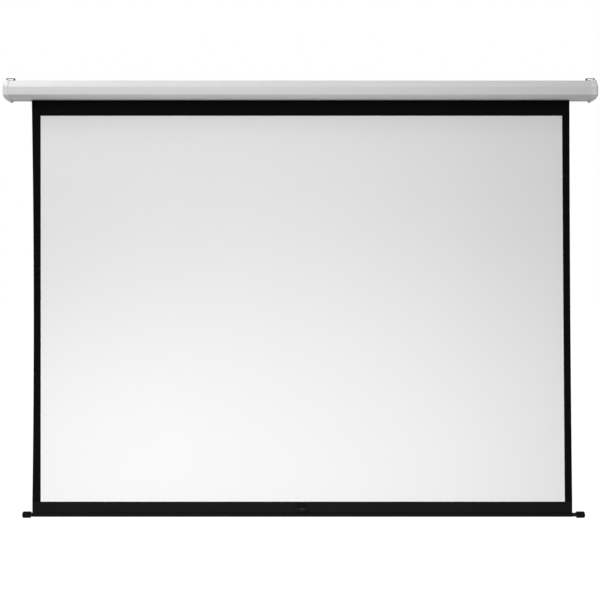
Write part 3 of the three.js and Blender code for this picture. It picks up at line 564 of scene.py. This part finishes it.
MATERIALS = {
    "casing_white": powder_coat("powder_coated_white", (0.714, 0.719, 0.716), 0.42),
    "cap_white": moulded("moulded_white", (0.735, 0.738, 0.73), 0.4),
    "zinc_steel": plated("zinc_plate", (0.13, 0.133, 0.134), 0.4),
    # A darker copy of the zinc plating for the hangers: painted shade
    "hanger_steel_shaded": plated("zinc_plate_shaded", (0.04, 0.041, 0.042), 0.45),
    "dark_steel": painted_steel("blackened_steel", (0.007, 0.007, 0.0075), 0.45, specular=0.12),
    "spring_steel": plated("spring_wire", (0.2, 0.2, 0.21), 0.34, spangle=700.0, spread=0.2),
    "nylon": moulded("natural_nylon", (0.7, 0.69, 0.62), 0.45),
    "viewing_white": coated_cloth(
        "matte_white_cloth", (0.9, 0.9, 0.9), 0.85,
        specular=0.2, period=0.0011, depth=0.00008, spread=0.008,
    ),
    "masking_black": coated_cloth(
        "black_cloth", (0.004, 0.004, 0.0041), 0.7,
        specular=0.02, period=0.0012, depth=0.00012, spread=0.2,
    ),
    # The black cloth again, with a lighter base colour for the hem: painted light, since the lower
    # border is lit more
    "hem_black_lit": coated_cloth(
        "black_cloth_lit_copy", (0.0055, 0.0055, 0.0056), 0.6,
        specular=0.045, period=0.0012, depth=0.00012, spread=0.2,
    ),
    "rod_black": painted_steel("black_paint", (0.005, 0.005, 0.0052), 0.35, specular=0.1),
    "plug_black": moulded(
        "moulded_black", (0.0035, 0.0035, 0.0037), 0.45,
        specular=0.04, grain=1200.0, depth=0.00012, spread=0.15,
    ),
}


def dress(obj, slot, body, *nodes, look=None):
    """Gives a piece the material of its slot or look, puts it on its body and hides the CAD nodes
    that it stands for.
    """
    obj.data.materials.clear()
    obj.data.materials.append(MATERIALS[look or slot])
    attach(obj, body)
    if nodes:
        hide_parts(*nodes)
    return obj


def dress_cad_nodes():
    slots = {row["node"]: row["material_slot"] for row in frame["record"]["subparts"]}
    for name, obj in frame["nodes"].items():
        obj.data.materials.clear()
        obj.data.materials.append(MATERIALS[slots[name]])


# Housing

def hanger_screw_tools(side, low, high):
    places = [along_z(side * x, HANGER_SCREW_Y) for x in HANGER_SCREW_XS]
    return [rod_shape("tool", low, high, SCREW_HOLE, place) for place in places]


def under_screw_tool(side):
    low, high = -CAP_TOP - UNDER_HOLE_PAST, -CAP_TOP + UNDER_HOLE_DEPTH
    return rod_shape("tool", low, high, SCREW_HOLE, along_z(side * UNDER_SCREW_X, UNDER_SCREW_Y))


def cap_screw_tools(side, start, end, radius):
    low, high = sorted((side * start, side * end))
    places = [along_x(CAP_SCREW_Y, z) for z in (CAP_SCREW_Z, -CAP_SCREW_Z)]
    return [rod_shape("tool", low, high, radius, place) for place in places]


def build_casing():
    path = [(SLOT_REAR, -CASING_TOP + SLOT_LIP), (SLOT_REAR, -CASING_TOP)]
    path += CORNERS
    path += [(SLOT_FRONT, -CASING_TOP), (SLOT_FRONT, -CASING_TOP + SLOT_LIP)]
    outer = rounded(path, BEND, closed=False)
    inner = rounded(grown(path, -SHEET, False), BEND - SHEET, closed=False)
    outline = outer + inner[::-1]
    rings = [[(x, p.x, p.y) for p in outline] for x in (-CASING_END, CASING_END)]
    casing = loft("casing_shell", rings, BENT_SHARP)
    tools = []
    for side in (-1, 1):
        tools += hanger_screw_tools(side, CASING_TOP - SHEET - PAST, CASING_TOP + PAST)
        tools.append(under_screw_tool(side))
    cut(casing, tools, sharp=BENT_SHARP)
    dress(casing, "casing_white", "housing", "casing")


def cap_skin(side):
    growth = FIT + CAP_WALL
    stations = [(CAP_INNER + along, growth + rise) for along, rise in CAP_MOUTH]
    for step in range(CAP_EDGE_STEPS + 1):
        angle = math.pi / 2 * step / CAP_EDGE_STEPS
        x = CAP_END - CAP_EDGE_WIDTH * (1 - math.sin(angle))
        stations.append((x, growth - CAP_EDGE_DEPTH * (1 - math.cos(angle))))
    rings = [casing_ring(side * x, grow, CAP_CORNER, CAP_CORNER_STEPS) for x, grow in stations]
    return loft("cap", rings, SOFT_SHARP)


def cap_tab(side):
    """The tab of a cap that goes under the hanger."""
    low, high = sorted((side * CAP_TAB_INNER, side * (CAP_INNER + CAP_TAB_OVERLAP)))
    front, back = HANGER_FRONT - CAP_TAB_PAST_FOOT, HANGER_BACK + CAP_TAB_PAST_FOOT
    tab = block("tool", (low, front, CASING_TOP + FIT), (high, back, CAP_TOP))
    return bevel(tab, CAP_TAB_EDGE)


def build_cap(side, word):
    cap = cap_skin(side)
    cut(cap, [cap_tab(side)], "UNION")
    skirt = loft("tool", [
        casing_ring(side * (CAP_INNER - PAST), FIT, BEND),
        casing_ring(side * CAP_LEDGE, FIT, BEND),
    ])
    dome = loft("tool", [
        casing_ring(side * (CAP_LEDGE - CAP_DOME_OVERLAP), -CAP_DOME_INSET, BEND),
        casing_ring(side * (CAP_LEDGE + CAP_DOME), -CAP_DOME_INSET, BEND),
    ])
    cut(dome, cap_screw_tools(side, CAP_LEDGE - PAST, CAP_END, CAP_SCREW_BOSS))
    tools = [skirt, dome]
    tools += cap_screw_tools(side, CAP_LEDGE - PAST, CAP_END + PAST, SCREW_HOLE)
    tools += cap_screw_tools(side, CAP_END - CAP_SINK, CAP_END + PAST, CAP_SINK_RADIUS)
    tools += hanger_screw_tools(side, CASING_TOP - PAST, CAP_TOP + 2 * PAST)
    tools.append(under_screw_tool(side))
    cut(cap, tools, sharp=SOFT_SHARP)
    cap.name = f"{word}_cap_shell"
    dress(cap, "cap_white", "housing", f"{word}_end_cap")


def hanger_ends(side):
    return sorted((side * (HANGER_OUTER - HANGER_WIDTH), side * HANGER_OUTER))


def hanger_mask(side, top):
    """What keeps the round upper corners of a hanger."""
    low, high = hanger_ends(side)
    below = CAP_TOP - PAST / 2
    square = [(low, below), (high, below), (high, top), (low, top)]
    corners = rounded(square, HANGER_CORNER, HANGER_STEPS)[2 * (HANGER_STEPS + 1):]
    mask = [Vector(square[0]), Vector(square[1])] + corners
    ends = (HANGER_FRONT - PAST, HANGER_BACK + PAST)
    return loft("tool", [[(p.x, y, p.y) for p in mask] for y in ends])


def hanger_eye(side, top):
    left = hanger_ends(side)[0] + (HANGER_WIDTH - HANGER_EYE_WIDTH) / 2
    right = left + HANGER_EYE_WIDTH
    high = top - HANGER_BAR
    low = high - HANGER_EYE_HEIGHT
    square = [(left, low), (right, low), (right, high), (left, high)]
    hole = rounded(square, HANGER_EYE_CORNER, HANGER_STEPS)
    ends = (HANGER_FRONT - PAST, HANGER_FRONT + HANGER_EYE_CUT)
    return loft("tool", [[(p.x, y, p.y) for p in hole] for y in ends])


def build_hanger(side, word):
    """Bent sheet: a foot on the cap and an upright with a long eye."""
    top = CAP_TOP + HANGER_RISE
    path = [(HANGER_BACK, CAP_TOP), (HANGER_FRONT, CAP_TOP), (HANGER_FRONT, top)]
    outer = rounded(path, HANGER_SHEET + HANGER_BEND, HANGER_STEPS, closed=False)
    inner = rounded(grown(path, HANGER_SHEET, False), HANGER_BEND, HANGER_STEPS, closed=False)
    outline = outer + inner[::-1]
    hanger = loft("hanger", [[(x, p.x, p.y) for p in outline] for x in hanger_ends(side)])
    cut(hanger, [hanger_mask(side, top)], "INTERSECT")
    holes = hanger_screw_tools(side, CAP_TOP - PAST, CAP_TOP + HANGER_SHEET + PAST)
    cut(hanger, [hanger_eye(side, top)] + holes)
    bevel(hanger, HANGER_EDGE)
    hanger.name = f"{word}_hanger_plate"
    # The hangers take the darker copy of the zinc plating, which is painted shade
    dress(hanger, "zinc_steel", "housing", f"{word}_hanger", look="hanger_steel_shaded")


def screw_mesh(length, shank, head, height):
    """A domed screw along Z with a cross recess, its head above the face at zero."""
    rim = head - SCREW_EDGE
    profile = [
        (-length, shank * 0.5), (-length + shank * 0.6, shank),
        (0.05, shank), (0.05, rim), (0.2, head),
    ]
    for step in range(1, SCREW_DOME_STEPS + 1):
        angle = math.pi / 2 * step / SCREW_DOME_STEPS
        rise = 0.35 * height + 0.65 * height * math.sin(angle)
        profile.append((rise, SCREW_EDGE + rim * math.cos(angle * 0.86)))
    profile.append((height, head * 0.12))
    obj = turned("screw", profile, SIDES, along_z(0, 0), TURNED_SHARP)
    long, wide, deep = head * CROSS_LENGTH, head * CROSS_WIDTH, height * CROSS_DEPTH
    tools = [
        block("tool", (-long, -wide, deep), (long, wide, height + PAST)),
        block("tool", (-wide, -long, deep), (wide, long, height + PAST)),
    ]
    return cut(obj, tools, sharp=TURNED_SHARP)


def place_screw(source, node_name, turn, at, slot, body):
    mesh = source.data.copy()
    mesh.transform(Matrix.Translation(Vector(at) * MM) @ turn)
    obj = add_object(f"{node_name}_head", mesh, TURNED_SHARP)
    dress(obj, slot, body, node_name)


def build_screws():
    quarter = math.pi / 2
    lengths = (HANGER_SCREW_LENGTH, CAP_SCREW_LENGTH, UNDER_SCREW_LENGTH)
    long, middle, short = (screw_mesh(length, *LARGE_SCREW) for length in lengths)
    small = screw_mesh(HANDLE_SCREW_LENGTH, *SMALL_SCREW)
    for side, word in ((-1, "left"), (1, "right")):
        for i, x in enumerate(HANGER_SCREW_XS, 1):
            spin = Matrix.Rotation(0.4 + i * side, 4, "Z")
            at = (side * x, HANGER_SCREW_Y, CAP_TOP + HANGER_SHEET)
            place_screw(long, f"{word}_hanger_screw_{i}", spin, at, "zinc_steel", "housing")
        for i, z in enumerate((CAP_SCREW_Z, -CAP_SCREW_Z), 1):
            spin = Matrix.Rotation(side * quarter, 4, "Y") @ Matrix.Rotation(0.7 * i, 4, "Z")
            at = (side * (CAP_END - CAP_SINK), CAP_SCREW_Y, z)
            place_screw(middle, f"{word}_cap_screw_{i}", spin, at, "zinc_steel", "housing")
        spin = Matrix.Rotation(math.pi, 4, "X") @ Matrix.Rotation(0.5 * side, 4, "Z")
        at = (side * UNDER_SCREW_X, UNDER_SCREW_Y, -CAP_TOP)
        place_screw(short, f"{word}_underside_screw", spin, at, "dark_steel", "housing")
        spin = Matrix.Rotation(quarter, 4, "X") @ Matrix.Rotation(0.3 + side, 4, "Z")
        at = (FABRIC_MIDDLE + side * HANDLE_SCREW_X, HANDLE_FRONT, HANDLE_SCREW_Z)
        place_screw(small, f"handle_screw_{word}", spin, at, "dark_steel", "screen")
    for source in (long, middle, short, small):
        bpy.data.objects.remove(source, do_unlink=True)


# Roller

def build_roll():
    """The last turns of the fabric on the tube, wound as a spiral."""
    inner = TUBE_RADIUS + ROLL_GAP
    outer_line, inner_line = [], []
    for i in range(ROLL_STEPS + 1):
        t = i / ROLL_STEPS
        angle = math.pi * 0.5 - 2 * math.pi * ROLL_TURNS * t
        radius = inner + (WRAP_RADIUS - ROLL_SHEET - inner) * t
        for line, r in ((inner_line, radius), (outer_line, radius + ROLL_SHEET)):
            line.append((ROLLER_Y + r * math.sin(angle), r * math.cos(angle)))
    outline = outer_line + inner_line[::-1]
    ends = (FABRIC_LEFT, FABRIC_RIGHT)
    roll = loft("fabric_roll", [[(x, y, z) for y, z in outline] for x in ends], TURNED_SHARP)
    dress(roll, "masking_black", "roller", "fabric_on_roller")


def build_spring():
    """An open wire coil with a straight leg at each end."""
    start = SPRING_END + SPRING_LEAD
    end = start + SPRING_PITCH * SPRING_TURNS
    side, per_turn = ROLLER_Y + SPRING_RADIUS, SIDES
    line = [(start - past, side, -rise) for past, rise in SPRING_LEG]
    for i in range(SPRING_TURNS * per_turn + 1):
        angle = 2 * math.pi * i / per_turn
        along = start + SPRING_PITCH * i / per_turn
        across, up = SPRING_RADIUS * math.cos(angle), SPRING_RADIUS * math.sin(angle)
        line.append((along, ROLLER_Y + across, up))
    line += [(end + past, side, rise) for past, rise in reversed(SPRING_LEG)]
    spring = swept("wound_spring", line, SPRING_WIRE, SPRING_SIDES, (0, 1, 0))
    dress(spring, "spring_steel", "roller", "torsion_spring")


# Hanging fabric

# Places of its edges at the top, the middle and the bottom. It draws in a little at mid height
EDGES = {
    "left": (-1045.6, -1038.8, -1042.5),
    "white_left": (-1009.9, -1009.9, -1009.9),
    "white_right": (1016.6, 1022.2, 1027.8),
    "right": (1046.1, 1050.8, 1057.0),
}


def edge_x(name, t):
    """Where an edge of the fabric is at a share of the drop, through its three measured places."""
    top, middle, bottom = EDGES[name]
    return top * (2 * t - 1) * (t - 1) + middle * 4 * t * (1 - t) + bottom * t * (2 * t - 1)


# Very shallow waves of the cloth: height, length for one radian, phase, and phase for the drop
WAVES = ((0.5, 145.0, 0.6, 0.0), (0.35, 61.0, 0.0, 2.1))


def fabric_y(x, t):
    """How far the cloth stands off its plane: edges that curl back, and the waves."""
    near = min(x - edge_x("left", t), edge_x("right", t) - x)
    curl = CURL_DEPTH * max(0.0, 1 - near / CURL_WIDTH) ** 2
    wave = sum(h * math.sin(x / length + phase + turn * t) for h, length, phase, turn in WAVES)
    return (curl + wave) * math.sin(math.pi * min(max(t, 0.0), 1.0)) ** 0.8


def fabric_columns(parts):
    """For each span between two named edges, the shares of it at which columns stand."""
    columns = []
    for i, (a, b, count) in enumerate(parts):
        for k in range(count + (i == len(parts) - 1)):
            columns.append((a, b, k / count))
    return columns


def cloth(name, columns, rows, front, back):
    def layer(y):
        made = []
        for z in rows:
            t = z / WHITE_BOTTOM
            for a, b, share in columns:
                x = edge_x(a, t) * (1 - share) + edge_x(b, t) * share
                made.append((x, y + fabric_y(x, t), z))
        return made
    wide, high = len(columns), len(rows)
    points = layer(front) + layer(back)
    far = wide * high
    faces = []
    for r in range(high - 1):
        for c in range(wide - 1):
            a, b = r * wide + c, (r + 1) * wide + c
            faces.append((a, b, b + 1, a + 1))
            faces.append((far + a, far + a + 1, far + b + 1, far + b))
    top = list(range(wide))
    bottom = [(high - 1) * wide + c for c in range(wide)]
    left = [r * wide for r in range(high)]
    right = [r * wide + wide - 1 for r in range(high)]
    for run, turn in ((top, False), (bottom, True), (left, True), (right, False)):
        for a, b in zip(run, run[1:]):
            faces.append((a, far + a, far + b, b) if turn else (a, b, far + b, far + a))
    obj = add_mesh(name, points, faces, SOFT_SHARP)
    face_out(obj)
    return obj


def build_cloth():
    sides = [
        ("left", "white_left", 8),
        ("white_left", "white_right", 72),
        ("white_right", "right", 8),
    ]
    white = WHITE_BOTTOM - WHITE_TOP
    white_rows = [WHITE_TOP + white * i / WHITE_ROWS for i in range(WHITE_ROWS + 1)]
    rows = [WHITE_TOP * i / DROP_ROWS for i in range(DROP_ROWS)] + white_rows
    backing = cloth("hanging_backing", fabric_columns(sides), rows, BACKING_FRONT, BACKING_BACK)
    coat = cloth("viewing_coat", fabric_columns(sides[1:2]), white_rows, COAT_FRONT, COAT_BACK)
    dress(backing, "masking_black", "screen", "fabric_backing")
    dress(coat, "viewing_white", "screen", "viewing_surface")
    for piece in (backing, coat):
        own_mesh(piece)
    return backing, coat


# The hem seen from the side: y, z and half its thickness, down to the rod's neck
HEM_NECK = [
    (ROD_Y, WHITE_BOTTOM - 0.05, 0.175),
    (ROD_Y, -1610.0, 0.175),
    (ROD_Y, -1632.0, 0.175),
    (ROD_Y, -1634.6, 0.2),
    (ROD_Y - 0.25, -1635.6, 0.22),
]
HEM_HALF = 0.25
HEM_START, HEM_END, HEM_STEPS = math.radians(98), math.radians(438), 64


def hem_line():
    """The lower border seen from the side: down, round the rod and back to its neck."""
    line = list(HEM_NECK)
    for i in range(HEM_STEPS + 1):
        angle = HEM_START + (HEM_END - HEM_START) * i / HEM_STEPS
        y, z = ROD_Y + HEM_RADIUS * math.cos(angle), ROD_Z + HEM_RADIUS * math.sin(angle)
        line.append((y, z, HEM_HALF))
    return line


def handle_screw_tools(front, back):
    places = [along_y(FABRIC_MIDDLE + side * HANDLE_SCREW_X, HANDLE_SCREW_Z) for side in (-1, 1)]
    return [rod_shape("tool", front, back, HANDLE_HOLE, place) for place in places]


def build_hem():
    line = hem_line()
    front, back = [], []
    for i, (y, z, half) in enumerate(line):
        a, b = line[max(i - 1, 0)], line[min(i + 1, len(line) - 1)]
        d = Vector((b[0] - a[0], b[1] - a[1])).normalized()
        n = left_of(d)
        front.append((y - n.x * half, z - n.y * half))
        back.append((y + n.x * half, z + n.y * half))
    outline = front + back[::-1]
    ends = (edge_x("left", 1.0), edge_x("right", 1.0))
    hem = loft("lower_hem", [[(x, y, z) for y, z in outline] for x in ends], TURNED_SHARP)
    cut(hem, handle_screw_tools(*HEM_HOLE_ENDS), sharp=TURNED_SHARP)
    # The hem takes the lighter copy of the black cloth, which is painted light
    return dress(hem, "masking_black", "screen", "lower_border", "hem_pocket", look="hem_black_lit")


# A plug's outside from its mouth: how far along, and how much less than its full radius
PLUG_OUTLINE = ((0.0, 0.5), (0.5, 0.0), (4.0, 0.0), (4.4, 0.3), (5.4, 0.3), (5.8, 0.0))


def plug_profile(side, inner):
    """From the bottom of the bore out, over the grooved outside and the round end."""
    bottom, outer = inner + side * PLUG_BORE_LENGTH, inner + side * PLUG_LENGTH
    profile = [(bottom, PLUG_CENTRE), (bottom, PLUG_BORE), (inner, PLUG_BORE)]
    profile += [(inner + side * along, PLUG_RADIUS - less) for along, less in PLUG_OUTLINE]
    for step in range(PLUG_ROUND_STEPS + 1):
        angle = math.pi / 2 * step / PLUG_ROUND_STEPS
        along = outer - side * PLUG_ROUND * (1 - math.sin(angle))
        profile.append((along, PLUG_RADIUS - PLUG_ROUND * (1 - math.cos(angle))))
    return profile + [(outer, PLUG_CENTRE)]


def build_rod():
    middle = along_x(ROD_Y, ROD_Z)
    rod = rod_shape("steel_rod", ROD_LEFT, ROD_RIGHT, ROD_RADIUS, middle, ROD_SIDES)
    dress(rod, "rod_black", "screen", "bottom_rod")
    for side, word in ((-1, "left"), (1, "right")):
        profile = plug_profile(side, PLUG_INNER[word])
        plug = turned(f"rod_plug_{word}_shell", profile, ROD_SIDES, middle, TURNED_SHARP)
        dress(plug, "plug_black", "screen", f"rod_plug_{word}")


# Pull handle

def handle_ear(side):
    """A lug on the front plate, round about the pin."""
    ends = sorted((FABRIC_MIDDLE + side * EAR_INNER, FABRIC_MIDDLE + side * HANDLE_HALF))
    root, low, high = HANDLE_FRONT + EAR_ROOT, PIN_Z - EAR_RADIUS, PIN_Z + EAR_RADIUS
    ring = [(root, low), (root, high), (PIN_Y, high)]
    for step in range(1, EAR_STEPS):
        angle = math.pi / 2 + math.pi * step / EAR_STEPS
        ring.append((PIN_Y + EAR_RADIUS * math.cos(angle), PIN_Z + EAR_RADIUS * math.sin(angle)))
    ring.append((PIN_Y, low))
    return loft("tool", [[(x, y, z) for y, z in ring] for x in ends])


def build_handle():
    low, high = FABRIC_MIDDLE - HANDLE_HALF, FABRIC_MIDDLE + HANDLE_HALF
    plate = block("handle_front", (low, HANDLE_FRONT, HANDLE_LOW), (high, HANDLE_BACK, HANDLE_HIGH))
    cut(plate, [handle_ear(side) for side in (-1, 1)], "UNION")
    pin = rod_shape("tool", low - PIN_PAST, high + PIN_PAST, PIN_HOLE, along_x(PIN_Y, PIN_Z))
    cut(plate, [pin] + handle_screw_tools(*HANDLE_HOLE_ENDS))
    bevel(plate, HANDLE_EDGE)
    dress(plate, "rod_black", "screen", "handle_plate")
    front, back = HANDLE_REAR_FRONT, HANDLE_REAR_BACK
    rear = block("handle_rear", (low, front, HANDLE_LOW), (high, back, HANDLE_HIGH))
    cut(rear, handle_screw_tools(*HANDLE_HOLE_ENDS))
    bevel(rear, HANDLE_EDGE)
    dress(rear, "rod_black", "screen", "handle_back_plate")


def bail_line():
    """The bail's wire in its own plane, in short steps."""
    half, high = BAIL_HALF, BAIL_HEIGHT
    corners = [(-half, 0), (-half, high), (half, high), (half, 0)]
    path = rounded(corners, BAIL_CORNER, BAIL_CORNER_STEPS, closed=False)
    line = []
    for a, b in zip(path, path[1:]):
        steps = max(1, int((b - a).length / BAIL_STEP))
        line += [a + (b - a) * i / steps for i in range(steps)]
    return line + path[-1:]


def bail_eye(x):
    half, edge, radius = BAIL_EYE_HALF, BAIL_EYE_EDGE, BAIL_EYE_RADIUS
    profile = [
        (x - half, radius - edge), (x - half + edge, radius),
        (x + half - edge, radius), (x + half, radius - edge),
    ]
    return turned("tool", profile, SIDES, along_x(0, 0))


def build_bail():
    line = [(p.x, 0, p.y) for p in bail_line()]
    bail = swept("bail_loop", line, BAIL_WIRE, BAIL_SIDES, (0, 1, 0))
    cut(bail, [bail_eye(x) for x in (-BAIL_HALF, BAIL_HALF)], "UNION", SOFT_SHARP)
    hole = rod_shape("tool", -2 * BAIL_HALF, 2 * BAIL_HALF, PIN_HOLE, along_x(0, 0))
    cut(bail, [hole], sharp=SOFT_SHARP)
    place = Vector((FABRIC_MIDDLE, PIN_Y, PIN_Z)) * MM
    bail.data.transform(Matrix.Translation(place) @ Matrix.Rotation(-BAIL_LEAN, 4, "X"))
    dress(bail, "plug_black", "pull_bail", "pull_bail")


# Stage. Its places and sizes are in metres, but for the camera's sensor

FLOOR_HALF = 200.0
FLOOR_Z = -2.45
FLOOR_SHADE = (0.2, 0.2, 0.2)
WORLD_LIGHT = 0.2
PHOTO_PIXELS = 600.0
FOCAL_PIXELS = 823.0
SENSOR = 36.0
CAMERA_PLACE = (-0.0017, -3.2205, -0.810)


def seen_rays(tree):
    """One for the rays by which the camera sees the ground: straight, in gloss or through glass."""
    seen = tree.nodes.new("ShaderNodeLightPath")
    shown = maths(tree, "MAXIMUM", seen.outputs["Is Camera Ray"], seen.outputs["Is Glossy Ray"])
    return maths(tree, "MAXIMUM", shown, seen.outputs["Is Transmission Ray"])


def build_floor():
    half, z = FLOOR_HALF, FLOOR_Z
    corners = [(-half, -half, z), (half, -half, z), (half, half, z), (-half, half, z)]
    mesh = bpy.data.meshes.new("floor")
    mesh.from_pydata(corners, [], [(0, 1, 2, 3)])
    floor = bpy.data.objects.new("floor", mesh)
    bpy.context.scene.collection.objects.link(floor)
    mat, tree, shader, place = material("studio_floor", FLOOR_SHADE, 0.9, specular=0.0)
    clouds = noise(tree, place, scale=1.5, detail=3.0)
    tinted(tree, shader, clouds, FLOOR_SHADE, spread=0.01)
    glow = node(tree, "ShaderNodeEmission", Strength=seen_rays(tree))
    both = tree.nodes.new("ShaderNodeAddShader")
    tree.links.new(shader.outputs["BSDF"], both.inputs[0])
    tree.links.new(glow.outputs["Emission"], both.inputs[1])
    tree.links.new(both.outputs[0], tree.nodes["Material Output"].inputs["Surface"])
    floor.data.materials.append(mat)


def build_world():
    world = bpy.data.worlds.new("studio")
    bpy.context.scene.world = world
    world.use_nodes = True
    tree = world.node_tree
    tree.nodes.clear()
    strength = mapped(tree, seen_rays(tree), 0.0, 1.0, WORLD_LIGHT, 1.0)
    light = node(tree, "ShaderNodeBackground", Color=(1, 1, 1, 1), Strength=strength)
    out = tree.nodes.new("ShaderNodeOutputWorld")
    tree.links.new(light.outputs["Background"], out.inputs["Surface"])


def lamp(name, place, aim, size, power):
    data = bpy.data.lights.new(name, "AREA")
    data.shape = "RECTANGLE"
    data.size, data.size_y = size
    data.energy = power
    obj = bpy.data.objects.new(name, data)
    obj.location = place
    obj.rotation_euler = (Vector(aim) - Vector(place)).to_track_quat("-Z", "Y").to_euler()
    obj.visible_camera = False
    bpy.context.scene.collection.objects.link(obj)


def build_light():
    build_world()
    lamp("front_lamp", (-0.6, -3.4, 2.2), (0.0, 0.0, 0.0), (3.0, 1.0), 54.0)
    lamp("overhead_lamp", (-0.2, -0.7, 1.5), (-0.2, -0.1, 0.0), (3.0, 0.6), 11.9)
    lamp("left_overhead_lamp", (-1.5, -0.3, 1.0), (-0.9, -0.1, 0.0), (1.0, 0.6), 4.3)
    lamp("left_lamp", (-2.2, -0.8, 0.9), (-0.6, -0.1, 0.0), (1.0, 0.8), 4.3)
    lamp("far_low_lamp", (-0.1, -3.0, -2.3), (-0.1, 0.0, -0.1), (0.6, 0.3), 38.2)
    lamp("low_lamp", (-0.3, -0.8, -1.7), (-0.3, 0.0, -1.4), (3.4, 0.5), 5.3)
    lamp("middle_lamp", (-0.3, -0.6, -1.0), (-0.3, 0.0, -1.0), (3.6, 0.6), 1.3)
    lamp("left_low_lamp", (-0.9, -0.5, -1.4), (-0.9, 0.0, -1.4), (1.0, 0.8), 0.35)
    lamp("casing_lamp", (-0.1, -0.9, -0.8), (-0.1, -0.04, -0.03), (0.8, 0.3), 0.28)
    lamp("rear_lamp", (0.3, 3.2, 0.8), (0.0, 0.0, -0.6), (3.0, 1.5), 60.0)


def build_camera():
    data = bpy.data.cameras.new("camera")
    data.sensor_width = SENSOR
    data.lens = FOCAL_PIXELS / PHOTO_PIXELS * SENSOR
    camera = bpy.data.objects.new("camera", data)
    camera.location = CAMERA_PLACE
    camera.rotation_euler = (math.pi / 2, 0.0, 0.0)
    bpy.context.scene.collection.objects.link(camera)
    bpy.context.scene.camera = camera


build_camera()
dress_cad_nodes()
build_casing()
for side, word in ((-1, "left"), (1, "right")):
    build_cap(side, word)
    build_hanger(side, word)
build_screws()
build_roll()
build_spring()
backing, coat = build_cloth()
hem = build_hem()
build_rod()
build_handle()
build_bail()
build_floor()
build_light()
bpy.context.scene.view_settings.view_transform = "Standard"
